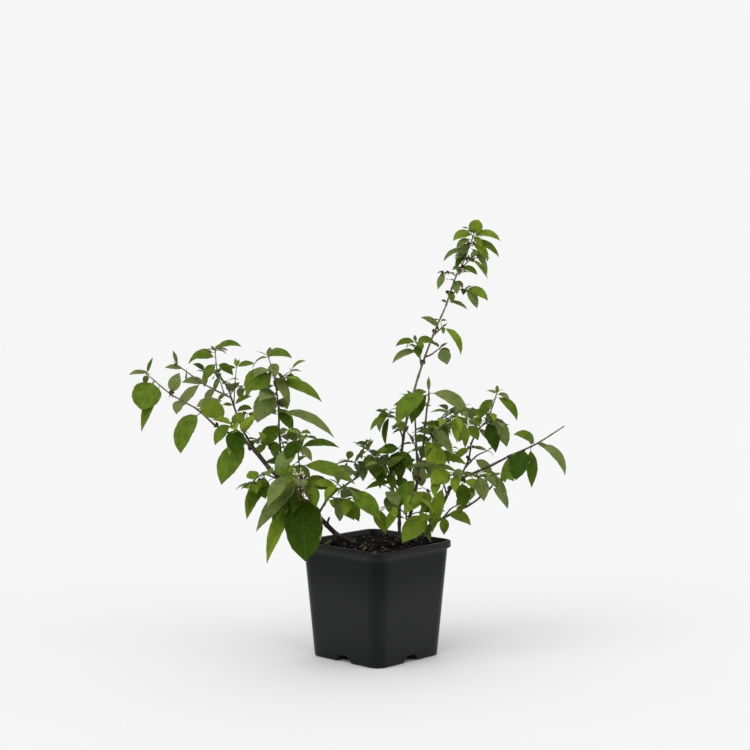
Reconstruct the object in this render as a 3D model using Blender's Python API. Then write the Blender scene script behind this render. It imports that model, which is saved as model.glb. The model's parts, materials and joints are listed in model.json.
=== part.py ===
"""A potted profusion beautyberry: a shrub of several thin stems in a square nursery pot.

Metres, +X to the right, +Y away from the viewer, +Z up. The origin is the centre of
the pot's flat underside. Limbs and twigs are given in millimetres, foot to tip.
"""

import math
import random
from collections import namedtuple

import bmesh
import bpy
from mathutils import Matrix, Vector
from mathutils.bvhtree import BVHTree

MM = 0.001
GAP = 0.3 * MM
UP = Vector((0, 0, 1))

# Pot: a tapered square shell with rounded corners, a rolled lip and a notch at the foot of each side
POT_HEIGHT = 131 * MM
POT_TURN = math.radians(46.8)
RIM_SIDE = 130 * MM
BASE_SIDE = 107 * MM
RIM_CORNER = 16 * MM
BASE_CORNER = 14 * MM
WALL = 2 * MM
FLOOR = 9 * MM
LIP_DEPTH = 8 * MM
LIP_REACH = 3.2 * MM
EDGE_ROUND = 1.5 * MM
NOTCH_WIDTH = 20 * MM
NOTCH_HEIGHT = 6.5 * MM
NOTCH_DEPTH = 13 * MM
CORNER_STEPS = 3
SOIL_LEVEL = 124.5 * MM

# Wood: how finely limbs and twigs are divided
LIMB_SIDES = 6
LIMB_STEP = 13 * MM
TWIG_SIDES = 3
TWIG_STEP = 17 * MM
TWIG_TIP = 0.85 * MM
TWIG_ROOT = 1.3 * MM
FLARE = 1.7
FLARE_LENGTH = 11 * MM

# Leaves: places along the blade, and the share of the full width there
LEAF_STATIONS = ((0.32, 0.95), (0.68, 0.82))
LEAF_SLENDER = 0.56
LEAF_THICKNESS = 1 / 45
LEAF_ROOM = 0.5 * MM
LEAF_SINK = 0.2 * MM
FOOT_HALF = 0.4 * MM
TIP_SINK = 2 * MM
LIGHT = Vector((0, -0.85, 0.5))
TURN_TO_LIGHT = 0.85
TRIES = 20
KNOT_DIVISIONS = 1

Limb = namedtuple("Limb", "parent place root tip points")
Mass = namedtuple("Mass", "parent place pairs leaf seed points twigs leaves")
Leaf = namedtuple("Leaf", "root along bend length width roll")

# Each limb: what it springs from and how far along that, its radius at root and tip, its points
LIMBS = {
    "left_stem": Limb(None, 0, 3.2, 1.9, [(-25, 18, 125), (-42, 10, 134), (-59, 0, 152),
                                          (-85, -15, 182), (-120, -30, 217)]),
    "left_outer_bough": Limb("left_stem", 1, 1.7, 1.1, [(-143, -34, 245), (-165, -36, 258),
                                                        (-180, -36, 267)]),
    "left_upper_bough": Limb("left_stem", 0.93, 1.4, 1.0, [(-145, -8, 249), (-159, 10, 276),
                                                           (-165, 18, 292)]),
    "left_crown_bough": Limb("left_stem", 0.88, 1.4, 1.1, [(-107, -16, 230), (-109, -12, 258)]),
    "cross_bough": Limb("left_stem", 0.42, 1.5, 1.0, [(-53, 5, 180), (-40, 20, 188), (-25, 35, 196)]),
    "tall_stem": Limb(None, 0, 2.6, 1.2, [(27, 30, 125), (27, 30, 167), (28, 30, 208), (33, 30, 254),
                                          (44, 30, 300), (54, 30, 332), (66, 32, 364), (80, 34, 396)]),
    "second_stem": Limb(None, 0, 2.3, 1.8, [(33, 12, 125), (40, 8, 164), (48, 5, 202)]),
    "second_stem_left": Limb("second_stem", 1, 1.4, 1.0, [(46, 20, 238), (45, 35, 267)]),
    "second_stem_right": Limb("second_stem", 0.93, 1.4, 1.0, [(53, -10, 239), (57, -20, 283),
                                                              (59, -22, 293)]),
    "right_stem": Limb(None, 0, 2.4, 1.7, [(48, 18, 125), (57, 12, 140), (65, 6, 152), (78, -4, 178),
                                           (83, -10, 190), (97, -18, 205)]),
    "right_outer_bough": Limb("right_stem", 1, 1.5, 1.2, [(125, -33, 219), (148, -45, 233)]),
    "right_upright_bough": Limb("right_stem", 0.93, 1.3, 1.0, [(104, -5, 222), (108, 10, 240)]),
    "low_right_stem": Limb(None, 0, 1.7, 1.1, [(44, 25, 125), (62, 35, 142), (86, 48, 153),
                                               (113, 60, 165), (133, 70, 180)]),
    "low_left_shoot": Limb(None, 0, 1.5, 1.0, [(16, 14, 125), (8, -6, 152), (-7, -24, 167),
                                               (-21, -40, 183), (-30, -48, 192)]),
}

# Each mass: its bough and the place on it, leaf pairs and the largest leaf on the main shoot, a seed,
# the main shoot's points, side twigs (place, tip, pairs, leaf), single leaves (place, chord, width, bend)
MASSES = {
    "left_tip": Mass("left_outer_bough", 1, 1, 20, 1,
                     [(-198, -34, 283), (-228, -30, 300), (-255, -25, 322)], [],
                     [(0.2, (-22, -6, -45), 25, 65), (0.26, (29, -6, -11), 24, 85),
                      (0.3, (30, 8, 11), 13, 30), (0.62, (9, 6, 24), 14, 20),
                      (0.79, (-20, -10, -51), 14, 25), (0.88, (-13, -12, -32), 33, 25),
                      (0.5, (-3, -8, -16), 14, 40)]),
    "left_shoulder": Mass("left_outer_bough", 0.3, 2, 34, 29,
                          [(-149, -50, 258), (-159, -62, 270)], [],
                          [(0.25, (-28, -14, -46), 30, 45), (0.85, (3, -14, -29), 21, 30),
                           (0.95, (-19, 4, -23), 14, 60), (0.9, (13, 10, 11), 14, 60)]),
    "left_lower": Mass("left_stem", 0.86, 2, 28, 19,
                       [(-126, -50, 213), (-138, -66, 204)], [],
                       [(0.5, (-19, -8, -49), 15, 25), (0.85, (-6, 6, 10), 15, 50),
                        (0.7, (3, 10, -27), 14, 40)]),
    "left_front": Mass("left_stem", 0.66, 3, 34, 43,
                       [(-83, -40, 205), (-86, -44, 234), (-84, -40, 252)],
                       [(0.35, (-100, -78, 198), 2, 40)],
                       [(0.12, (7, -30, -75), 40, 25), (0.1, (-35, -32, -77), 24, 40),
                        (0.3, (-48, -34, -49), 26, 30), (0.6, (62, -16, -19), 22, 45),
                        (0.85, (45, 4, 0), 9, 60), (0.46, (-28, -24, -25), 18, 50),
                        (0.34, (35, -12, -8), 22, 45), (0.85, (-25, -14, -28), 19, 50),
                        (0.3, (-32, -10, -41), 16, 30)]),
    "left_crown": Mass("left_crown_bough", 1, 5, 36, 49,
                       [(-110, -5, 286), (-115, 0, 318), (-122, 8, 340)],
                       [(0.45, (-138, 18, 306), 2, 30), (0.55, (-96, 26, 322), 2, 30)],
                       [(0.72, (-31, -20, -16), 29, 50), (0.5, (-21, -20, -33), 27, 40),
                        (0.73, (18, -14, -33), 15, 35), (0.62, (53, -8, -21), 14, 55),
                        (0.3, (14, -16, -24), 17, 30), (0.24, (63, -10, -29), 16, 50),
                        (0.98, (27, -4, -1), 9, 90), (0.9, (7, -12, -15), 13, 50),
                        (0.97, (-1, 2, 13), 6, 20)]),
    "left_upper_tip": Mass("left_upper_bough", 1, 1, 14, 32,
                           [(-194, 22, 306), (-229, 28, 330)],
                           [(0.1, (-184, 34, 318), 1, 14)],
                           [(0.42, (-29, 8, 2), 10, 60), (0.25, (-14, 10, -18), 13, 50),
                            (0.85, (-21, -4, 2), 8, 40), (0.8, (-1, 10, -20), 12, 40)]),
    "left_crest": Mass("left_upper_bough", 0.78, 3, 22, 56,
                       [(-170, 34, 301), (-182, 37, 322), (-184, 39, 335), (-185, 40, 346)],
                       [(0.1, (-160, 38, 327), 1, 28), (0.5, (-201, 66, 318), 1, 28),
                        (0.3, (-154, 60, 302), 2, 28)],
                       [(0.97, (31, -4, 5), 9, 90), (0.95, (-32, 6, -14), 12, 70),
                        (0.8, (-13, -8, -20), 12, 45), (0.78, (19, -6, -12), 10, 60),
                        (0.88, (-26, -10, -1), 11, 60)]),
    "left_back": Mass("left_stem", 0.8, 4, 36, 32,
                      [(-98, 20, 209), (-112, 60, 245)],
                      [(0.5, (-140, 56, 240), 2, 32), (0.6, (-84, 84, 240), 2, 34)], []),
    "cross_tip": Mass("cross_bough", 1, 3, 34, 13,
                      [(-16, 45, 208), (-3, 52, 222)],
                      [(0.4, (-34, 66, 214), 2, 32)],
                      [(0.2, (-32, -12, 2), 20, 50)]),
    "cross_low": Mass("cross_bough", 0.35, 2, 34, 32,
                      [(-40, -20, 180), (-27, -40, 185)], [],
                      [(0.05, (18, -6, -21), 16, 50), (0.6, (19, -6, -24), 16, 35)]),
    "low_mid": Mass("low_left_shoot", 1, 2, 34, 21,
                    [(-36, -55, 198), (-43, -62, 205)], [],
                    [(0.1, (36, -12, -30), 24, 45)]),
    "centre_left": Mass("tall_stem", 0.2, 4, 36, 29,
                        [(9, 0, 217), (-10, -12, 236)],
                        [(0.35, (4, -34, 222), 2, 30), (0.5, (-14, 22, 236), 2, 30)], []),
    "centre_left_back": Mass("tall_stem", 0.13, 4, 38, 28,
                             [(14, 60, 192), (-5, 85, 212)],
                             [(0.5, (34, 92, 206), 2, 34)], []),
    "tall_twig": Mass("tall_stem", 0.43, 2, 36, 24,
                      [(23, 15, 268), (14, 0, 275)], [], []),
    "second_left_tip": Mass("second_stem_left", 1, 2, 30, 3,
                            [(44, 40, 282), (42, 42, 292)], [], []),
    "second_right_tip": Mass("second_stem_right", 1, 1, 22, 29,
                             [(59, -24, 311), (60, -24, 321)], [],
                             [(0.2, (-35, -14, -33), 26, 75), (0.22, (-19, 10, -35), 18, 50),
                              (0.25, (43, -8, -30), 21, 80)]),
    "right_crown_front": Mass("second_stem_right", 0.45, 4, 42, 26,
                              [(69, -30, 260), (89, -45, 280)],
                              [(0.4, (64, -52, 250), 2, 38), (0.6, (98, -28, 262), 2, 34)], []),
    "right_crown": Mass("right_upright_bough", 1, 3, 32, 40,
                        [(116, 20, 254), (128, 30, 266), (139, 36, 296)],
                        [(0.3, (96, 34, 268), 2, 30), (0.4, (140, 10, 262), 1, 28)],
                        [(0.9, (-18, -10, -24), 12, 55), (0.93, (24, -8, -27), 11, 70),
                         (0.6, (20, -10, -35), 17, 45), (0.5, (10, -16, -35), 18, 40)]),
    "right_mid": Mass("right_upright_bough", 0.3, 1, 24, 31,
                      [(113, -20, 230), (125, -30, 237)], [],
                      [(0.4, (20, -10, -19), 16, 35)]),
    "right_front": Mass("right_stem", 0.72, 3, 46, 26,
                        [(73, -35, 207), (66, -55, 221)],
                        [(0.4, (92, -58, 214), 2, 38)],
                        [(0.3, (-14, -18, -52), 20, 25)]),
    "right_arm": Mass("right_outer_bough", 0.3, 1, 26, 9,
                      [(113, -45, 210), (130, -62, 214)], [],
                      [(0.1, (33, -8, -27), 18, 55), (0.25, (6, -14, -28), 20, 35)]),
    "right_tip": Mass("right_outer_bough", 1, 0, 30, 26,
                      [(176, -55, 247), (206, -65, 268)], [],
                      [(0.44, (-24, -2, 11), 11, 85), (0.42, (-13, -10, 5), 10, 60),
                       (0.47, (31, -6, -35), 13, 75), (0.28, (-12, -14, -33), 23, 45),
                       (0.36, (1, -6, -45), 13, 25), (0.3, (-29, 12, -42), 14, 30),
                       (0.46, (17, 8, -12), 8, 60)]),
    "low_right": Mass("low_right_stem", 1, 2, 28, 4,
                      [(142, 76, 189), (153, 80, 194)],
                      [(0.3, (132, 98, 196), 2, 28)],
                      [(0.1, (19, -8, -25), 14, 60)]),
    "low_right_front": Mass("low_right_stem", 0.4, 1, 28, 4,
                            [(87, 20, 165), (98, 5, 173)], [],
                            [(0.2, (28, -14, -11), 14, 65), (0.1, (-1, -8, -21), 11, 25),
                             (0.7, (25, 8, 13), 14, 50)]),
    "centre_front": Mass("second_stem", 0.3, 3, 46, 37,
                         [(34, -25, 164), (40, -50, 188)],
                         [(0.4, (60, -46, 166), 2, 40), (0.5, (14, -50, 176), 2, 34)], []),
    "centre_back": Mass("second_stem_left", 0.3, 4, 40, 12,
                        [(52, 70, 216), (66, 95, 240)],
                        [(0.5, (36, 92, 246), 2, 32), (0.5, (90, 84, 222), 2, 36)], []),
    "right_back": Mass("second_stem_left", 0.8, 3, 38, 41,
                       [(72, 56, 262), (101, 80, 276)],
                       [(0.5, (98, 54, 280), 2, 30)], []),
    "tall_mid_left": Mass("tall_stem", 0.735, 1, 20, 21,
                          [(49, 20, 346), (45, 15, 357)], [],
                          [(0.9, (-24, -4, -4), 9, 75), (0.5, (-31, -8, -13), 10, 70),
                           (0.85, (2, -10, -15), 10, 40), (0.93, (21, 4, 0), 11, 60)]),
    "tall_mid_right": Mass("tall_stem", 0.775, 1, 22, 36,
                           [(64, 30, 341), (74, 25, 349)], [],
                           [(0.85, (9, -8, -18), 15, 50)]),
    "tall_node": Mass("tall_stem", 0.87, 1, 14, 49,
                      [(73, 20, 370), (77, 12, 374)], [],
                      [(0.5, (-22, -4, 14), 9, 60), (0.85, (23, -6, -36), 12, 70)]),
    "tall_top": Mass("tall_stem", 1, 6, 22, 14,
                     [(91, 30, 429), (100, 28, 447), (112, 25, 480)],
                     [(0.1, (102, 22, 416), 1, 24), (0.4, (76, 22, 434), 1, 15),
                      (0.5, (122, 38, 452), 1, 20)],
                     [(0.95, (-23, -6, -6), 15, 90), (0.93, (41, -4, -6), 13, 90),
                      (0.88, (41, 4, -24), 13, 60), (0.86, (19, -8, -22), 12, 60),
                      (0.8, (24, -4, -37), 9, 50), (0.97, (7, 6, 21), 15, 20),
                      (0.9, (-20, -10, -13), 11, 70), (0.75, (-33, -4, -15), 9, 80),
                      (0.05, (23, -6, -9), 7, 50)]),
}

# Knots of dry fruit and buds that show from a step away: limb or mass, place along it, radius
KNOTS = [
    ("left_stem", 0.62, 3.0), ("left_outer_bough", 0.35, 3.2), ("left_outer_bough", 0.95, 2.8),
    ("second_stem", 0.96, 4.0), ("right_stem", 0.97, 4.2), ("right_stem", 0.8, 3.2),
    ("right_upright_bough", 0.5, 3.4), ("left_tip", 0.6, 3.4), ("left_crown", 0.3, 4.4),
    ("left_crown", 0.75, 4.0), ("left_front", 0.35, 5.0), ("left_front", 0.12, 4.0),
    ("right_crown", 0.5, 3.0), ("tall_top", 0.15, 3.2), ("tall_top", 0.62, 3.4), ("tall_stem", 0.75, 2.6),
    ("tall_stem", 0.88, 3.0),
]


def smooth(points, step):
    """Points about a step apart on a curve through the given ones."""
    ends = [2 * points[0] - points[1]] + points + [2 * points[-1] - points[-2]]
    path = [points[0]]
    for before, start, end, after in zip(ends, ends[1:], ends[2:], ends[3:]):
        count = max(1, round((end - start).length / step))
        for i in range(1, count + 1):
            t = i / count
            slope = end - before
            square = 2 * before - 5 * start + 4 * end - after
            cube = 3 * start - before - 3 * end + after
            path.append(start + 0.5 * (slope * t + square * t ** 2 + cube * t ** 3))
    return path


def on_path(path, place):
    """The point at a share of the path's length, and the direction there."""
    lengths = [(b - a).length for a, b in zip(path, path[1:])]
    left = place * sum(lengths)
    for a, b, length in zip(path, path[1:], lengths):
        if left <= length:
            return a.lerp(b, left / length), (b - a).normalized()
        left -= length
    return path[-1].copy(), (path[-1] - path[-2]).normalized()


def tube(path, radii, sides, flat_foot=False):
    """Vertices and faces of a closed round bar along a path, with a foot cut level where it stands."""
    verts = []
    faces = []
    across = None
    for i, (centre, radius) in enumerate(zip(path, radii)):
        ahead = (path[min(i + 1, len(path) - 1)] - path[max(i - 1, 0)]).normalized()
        if flat_foot and i == 0:
            ahead = UP
        if across is None:
            across = ahead.orthogonal().normalized()
        across = (across - ahead * across.dot(ahead)).normalized()
        over = ahead.cross(across)
        for k in range(sides):
            turn = math.tau * k / sides
            verts.append(centre + radius * (math.cos(turn) * across + math.sin(turn) * over))
    for i in range(len(path) - 1):
        for k in range(sides):
            a = i * sides + k
            b = i * sides + (k + 1) % sides
            faces.append((a, b, b + sides, a + sides))
    faces.append(tuple(reversed(range(sides))))
    faces.append(tuple(range(len(verts) - sides, len(verts))))
    return verts, faces


def leaf_frame(leaf, share):
    """Centre, ahead, side and face directions at a share of the blade, which bends down as an arc."""
    down = -UP - leaf.along * leaf.along.dot(-UP)
    down = down.normalized() if down.length > 0.05 else leaf.along.orthogonal().normalized()
    most = max(leaf.bend, 1e-3)
    angle = most * share
    centre = leaf.root + leaf.length * (math.sin(angle) * leaf.along + (1 - math.cos(angle)) * down) / most
    ahead = math.cos(angle) * leaf.along + math.sin(angle) * down
    face = math.sin(angle) * leaf.along - math.cos(angle) * down
    rolled = Matrix.Rotation(leaf.roll, 3, ahead)
    return centre, ahead, rolled @ ahead.cross(face), rolled @ face


def leaf_solid(leaf, room=0.0, blade_only=False):
    """Vertices and faces of a thin blade with a ridge along its middle and a pointed tip. Its foot is
    a short upright edge sunk in the twig. The blade alone starts where it is first wide."""
    verts = []
    faces = []
    if blade_only:
        faces.append((2, 1, 0))
    else:
        centre, ahead, _, face = leaf_frame(leaf, 0.0)
        foot = centre - LEAF_SINK * ahead
        verts += [foot - FOOT_HALF * face, foot + FOOT_HALF * face]
        faces += [(0, 2, 4), (1, 3, 2), (1, 4, 3), (1, 2, 0), (0, 4, 1)]
    first = len(verts)
    thick = leaf.length * LEAF_THICKNESS
    for place, share in LEAF_STATIONS:
        centre, _, side, face = leaf_frame(leaf, place)
        reach = leaf.width / 2 * share + room
        verts += [centre - reach * side - room * face, centre + (thick + room) * face,
                  centre + reach * side - room * face]
    verts.append(leaf_frame(leaf, 1.0)[0])
    for row in range(len(LEAF_STATIONS) - 1):
        for k in range(3):
            a = first + 3 * row + k
            b = first + 3 * row + (k + 1) % 3
            faces.append((a, b, b + 3, a + 3))
    last = len(verts) - 4
    for k in range(3):
        faces.append((last + k, last + (k + 1) % 3, last + 3))
    return verts, faces


class Space:
    """What already stands, so that nothing grows through it."""

    def __init__(self):
        self.filled = []

    def add(self, shape, owner=None):
        verts, faces = shape
        low = [min(v[i] for v in verts) for i in range(3)]
        high = [max(v[i] for v in verts) for i in range(3)]
        self.filled.append((low, high, BVHTree.FromPolygons(verts, faces), owner))

    def free(self, shape, owner=None):
        verts, faces = shape
        low = [min(v[i] for v in verts) for i in range(3)]
        high = [max(v[i] for v in verts) for i in range(3)]
        tree = None
        for other_low, other_high, other, holder in self.filled:
            if owner and holder == owner:
                continue
            if any(low[i] > other_high[i] or high[i] < other_low[i] for i in range(3)):
                continue
            tree = tree or BVHTree.FromPolygons(verts, faces)
            if tree.overlap(other):
                return False
        return True


def seat(axis_point, direction, radius, sides, space):
    """The nearest place outwards from a limb's axis where a new shoot's end stands clear of the bark."""
    best = axis_point + direction * 12 * MM
    for tenth in range(120, 0, -1):
        start = axis_point + direction * tenth * 0.1 * MM
        stub = [start - direction * GAP, start + direction * 5 * MM]
        if not space.free(tube(stub, [radius + GAP] * 2, sides)):
            break
        best = start
    return best


def limb_radii(limb, path):
    """Radii that taper along the limb, with a flare at a foot that stands in the soil."""
    radii = []
    run = 0.0
    whole = sum((b - a).length for a, b in zip(path, path[1:]))
    for i, point in enumerate(path):
        run += (point - path[i - 1]).length if i else 0.0
        radius = limb.root + (limb.tip - limb.root) * run / whole
        if limb.parent is None:
            radius *= 1 + (FLARE - 1) * max(0.0, 1 - run / FLARE_LENGTH) ** 2
        radii.append(radius * MM)
    return radii


def start_of(row, paths, radius, sides, space):
    """Where a limb or a mass begins: on the soil, or seated on the limb that carries it."""
    first = Vector(row.points[0]) * MM
    if row.parent is None:
        return Vector((first.x, first.y, SOIL_LEVEL + GAP))
    root, ahead = on_path(paths[row.parent], row.place)
    direction = (first - root).normalized()
    if row.place < 1:
        direction = (direction - 0.35 * ahead * direction.dot(ahead)).normalized()
    return seat(root, direction, radius, sides, space)


def node_leaves(path, pairs, largest, rng):
    """Opposite pairs of leaves, each pair a quarter turn from the last, and a small one at the tip."""
    turn = rng.uniform(0, math.pi)
    for i in range(pairs):
        place = (i + 1) / pairs
        root, ahead = on_path(path, place)
        root = root - ahead * TIP_SINK * place
        side = ahead.cross(UP)
        side = side.normalized() if side.length > 0.2 else ahead.orthogonal().normalized()
        over = side.cross(ahead)
        turn += math.pi / 2 + rng.uniform(-0.25, 0.25)
        for way in (1, -1):
            size = largest * (1 - 0.3 * place ** 2) * rng.uniform(0.82, 1.15)
            yield root, ahead, side, over, turn + (0 if way > 0 else math.pi), size


def stands_clear(leaf, name, space, own):
    """Whether a leaf keeps off everything else, and its blade off the other blades of its own mass."""
    blade = leaf_solid(leaf, LEAF_ROOM, blade_only=True)
    if not space.free(leaf_solid(leaf, LEAF_ROOM), name) or not own.free(blade):
        return False
    own.add(blade)
    return True


def free_leaf(node, name, space, own, rng):
    """A leaf at a node, turned and bent until it stands clear, or None."""
    root, ahead, side, over, turn, size = node
    for attempt in range(TRIES):
        spread = 0.12 + 0.09 * attempt
        angle = turn + rng.uniform(-spread, spread)
        out = math.cos(angle) * side + 0.6 * math.sin(angle) * over
        along = out.normalized() + rng.uniform(0.3, 0.8) * ahead + rng.uniform(-0.3, 0.25) * UP
        along.normalize()
        bend = math.radians(rng.uniform(40, 95))
        roll = math.radians(rng.uniform(-35, 35))
        width = size * LEAF_SLENDER * rng.uniform(0.85, 1.15)
        leaf = Leaf(root, along, bend, size * MM, width * MM, roll)
        if stands_clear(leaf, name, space, own):
            return leaf
    return None


def chord_leaf(root, row, name, space, own, rng):
    """A leaf given by where its tip goes, swung about its root until it stands clear, or None."""
    chord = Vector(row[1]) * MM
    bend = math.radians(row[3])
    level = chord.cross(UP)
    level = level.normalized() if level.length > 1e-4 else Vector((1, 0, 0))
    for attempt in range(TRIES):
        swing = Matrix.Rotation(rng.uniform(-0.09, 0.09) * attempt, 3, UP)
        lift = Matrix.Rotation(rng.uniform(-0.07, 0.07) * attempt, 3, level)
        aim = swing @ lift @ chord
        axis = aim.cross(UP)
        axis = axis.normalized() if axis.length > 1e-4 else Vector((1, 0, 0))
        along = (Matrix.Rotation(bend / 2, 3, axis) @ aim).normalized()
        length = aim.length * (bend / 2) / math.sin(bend / 2)
        leaf = Leaf(root, along, bend, length, row[2] * MM, 0.0)
        _, ahead, _, face = leaf_frame(leaf, 0.5)
        to_light = LIGHT - ahead * LIGHT.dot(ahead)
        roll = math.atan2(ahead.dot(face.cross(to_light)), face.dot(to_light))
        leaf = leaf._replace(roll=TURN_TO_LIGHT * roll + rng.uniform(-0.2, 0.2))
        if stands_clear(leaf, name, space, own):
            return leaf
    return None


def shoot_tube(path):
    """A three-sided twig that tapers along its path."""
    last = len(path) - 1
    radii = [TWIG_ROOT + (TWIG_TIP - TWIG_ROOT) * i / last for i in range(last + 1)]
    return tube(path, radii, TWIG_SIDES)


def grow_shoots(name, mass, start, space):
    """The main shoot of a mass and its side twigs, each with its leaf pairs and largest leaf."""
    main = smooth([start] + [Vector(p) * MM for p in mass.points], TWIG_STEP)
    if not space.free(shoot_tube(main)):
        raise ValueError(f"the main shoot of {name} crosses something that already stands")
    shoots = [(main, mass.pairs, mass.leaf)]
    for place, tip, pairs, leaf in mass.twigs:
        root, _ = on_path(main, place)
        end = Vector(tip) * MM
        middle = root.lerp(end, 0.5) + UP * 0.12 * (end - root).length
        path = smooth([root, middle, end], TWIG_STEP)
        if space.free(shoot_tube(path), name):
            shoots.append((path, pairs, leaf))
    for path, _, _ in shoots:
        space.add(shoot_tube(path), name)
    return shoots


def grow_leaves(name, mass, shoots, space):
    """The leaves of one mass: the single ones first, then the pairs and the tip of each shoot."""
    rng = random.Random(mass.seed)
    own = Space()
    leaves = []
    for row in mass.leaves:
        leaves.append(chord_leaf(on_path(shoots[0][0], row[0])[0], row, name, space, own, rng))
    for path, pairs, largest in shoots:
        for node in node_leaves(path, pairs, largest, rng):
            leaves.append(free_leaf(node, name, space, own, rng))
        tip, ahead = on_path(path, 1.0)
        root = tip - ahead * TIP_SINK
        bud = Leaf(root, ahead, 0.5, 0.35 * largest * MM, 0.1 * largest * MM, rng.uniform(-1, 1))
        leaves.append(bud if stands_clear(bud, name, space, own) else None)
    return [leaf for leaf in leaves if leaf]


def knot(centre, radius):
    """A lump of dry fruit and buds round a node."""
    mesh = bmesh.new()
    place = Matrix.Translation(centre)
    bmesh.ops.create_icosphere(mesh, subdivisions=KNOT_DIVISIONS, radius=radius, matrix=place)
    verts = [v.co.copy() for v in mesh.verts]
    faces = [tuple(v.index for v in face.verts) for face in mesh.faces]
    mesh.free()
    return verts, faces


def material(name, colour, roughness):
    made = bpy.data.materials.new(name)
    made.use_nodes = True
    shader = made.node_tree.nodes["Principled BSDF"]
    shader.inputs["Base Color"].default_value = (*colour, 1)
    shader.inputs["Roughness"].default_value = roughness
    return made


def new_object(name, shape, collection):
    mesh = bpy.data.meshes.new(name)
    mesh.from_pydata(*[list(part) for part in (shape[0], [], shape[1])])
    made = bpy.data.objects.new(name, mesh)
    collection.objects.link(made)
    return made


def keep_main_body(mesh):
    """Drops loose scraps and the skins of sealed hollows, and keeps the outer surface."""
    shape = bmesh.new()
    shape.from_mesh(mesh)
    groups = []
    seen = set()
    for first in shape.faces:
        if first in seen:
            continue
        group = []
        waiting = [first]
        seen.add(first)
        while waiting:
            face = waiting.pop()
            group.append(face)
            for edge in face.edges:
                for other in edge.link_faces:
                    if other not in seen:
                        seen.add(other)
                        waiting.append(other)
        groups.append(group)
    groups.sort(key=len)
    for group in groups[:-1]:
        bmesh.ops.delete(shape, geom=group, context="FACES")
    shape.to_mesh(mesh)
    shape.free()


def join(name, shapes, finish):
    """One closed body made of overlapping closed shapes."""
    scene = bpy.context.scene.collection
    body = new_object(name, shapes[0], scene)
    if len(shapes) > 1:
        helpers = bpy.data.collections.new(name + "_pieces")
        scene.children.link(helpers)
        for i, shape in enumerate(shapes[1:]):
            new_object(f"{name}_piece_{i}", shape, helpers)
        union = body.modifiers.new("Join", "BOOLEAN")
        union.operation = "UNION"
        union.operand_type = "COLLECTION"
        union.collection = helpers
        union.solver = "EXACT"
        bpy.context.view_layer.update()
        seen = body.evaluated_get(bpy.context.evaluated_depsgraph_get())
        joined = bpy.data.meshes.new_from_object(seen)
        body.modifiers.clear()
        body.data = joined
        for helper in list(helpers.objects):
            bpy.data.objects.remove(helper)
        bpy.data.collections.remove(helpers)
        keep_main_body(body.data)
    body.data.materials.clear()
    body.data.materials.append(finish)
    return body


def square_ring(side, corner, height):
    """Points round a square with round corners, turned with the pot."""
    points = []
    inset = side / 2 - corner
    for quarter in range(4):
        middle = math.pi / 4 + quarter * math.pi / 2
        away = (math.copysign(inset, math.cos(middle)), math.copysign(inset, math.sin(middle)), 0)
        centre = Vector(away)
        for step in range(CORNER_STEPS + 1):
            angle = quarter * math.pi / 2 + step / CORNER_STEPS * math.pi / 2
            points.append(centre + corner * Vector((math.cos(angle), math.sin(angle), 0)))
    turn = Matrix.Rotation(POT_TURN, 3, "Z")
    return [turn @ (point + UP * height) for point in points]


def loft(rings):
    """Vertices and faces of a closed body through the rings, in order, with both ends capped."""
    size = len(rings[0])
    verts = [point for ring in rings for point in ring]
    faces = [tuple(reversed(range(size)))]
    for i in range(len(rings) - 1):
        for k in range(size):
            a = i * size + k
            b = i * size + (k + 1) % size
            faces.append((a, b, b + size, a + size))
    faces.append(tuple(range(len(verts) - size, len(verts))))
    return verts, faces


def wall_side(height):
    """The pot wall's outer side at a height, and its corner radius there."""
    share = height / (POT_HEIGHT - LIP_DEPTH)
    side = BASE_SIDE + (RIM_SIDE - 2 * LIP_REACH - BASE_SIDE) * share
    corner = BASE_CORNER + (RIM_CORNER - LIP_REACH / 2 - BASE_CORNER) * share
    return side, corner


def wall_ring(height, inwards=0.0):
    side, corner = wall_side(height)
    return square_ring(side - 2 * inwards, corner - inwards, height)


def build_pot(finish):
    """The pot's shell with its lip, and the notches at the foot of its sides cut out."""
    under_lip = POT_HEIGHT - LIP_DEPTH
    base_side, base_corner = wall_side(0)
    rings = [
        square_ring(base_side - 2 * EDGE_ROUND, base_corner - EDGE_ROUND, 0),
        wall_ring(EDGE_ROUND),
        wall_ring(under_lip),
        square_ring(RIM_SIDE - EDGE_ROUND, RIM_CORNER - EDGE_ROUND / 2, under_lip - EDGE_ROUND / 2),
        square_ring(RIM_SIDE, RIM_CORNER, under_lip + EDGE_ROUND),
        square_ring(RIM_SIDE, RIM_CORNER, POT_HEIGHT - EDGE_ROUND),
        square_ring(RIM_SIDE - 2 * EDGE_ROUND, RIM_CORNER - EDGE_ROUND, POT_HEIGHT),
        wall_ring(POT_HEIGHT, WALL - EDGE_ROUND / 2),
        wall_ring(POT_HEIGHT - EDGE_ROUND, WALL),
        wall_ring(FLOOR, WALL),
    ]
    pot = join("pot", [loft(rings)], finish)
    for quarter in range(4):
        bpy.ops.mesh.primitive_cube_add(size=1)
        cutter = bpy.context.object
        cutter.name = f"notch_{quarter}"
        cutter.data.transform(Matrix.Diagonal((NOTCH_DEPTH * 2, NOTCH_WIDTH, NOTCH_HEIGHT * 2, 1)))
        angle = POT_TURN + quarter * math.pi / 2
        place = Matrix.Rotation(angle, 4, "Z") @ Matrix.Translation((BASE_SIDE / 2 + EDGE_ROUND, 0, 0))
        cutter.matrix_world = place
        cutter.hide_render = True
        cutter.display_type = "WIRE"
        soften = cutter.modifiers.new("Round", "BEVEL")
        soften.width = NOTCH_HEIGHT * 0.6
        soften.segments = 2
        cut = pot.modifiers.new(f"Notch {quarter}", "BOOLEAN")
        cut.operation = "DIFFERENCE"
        cut.object = cutter
    return pot


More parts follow.
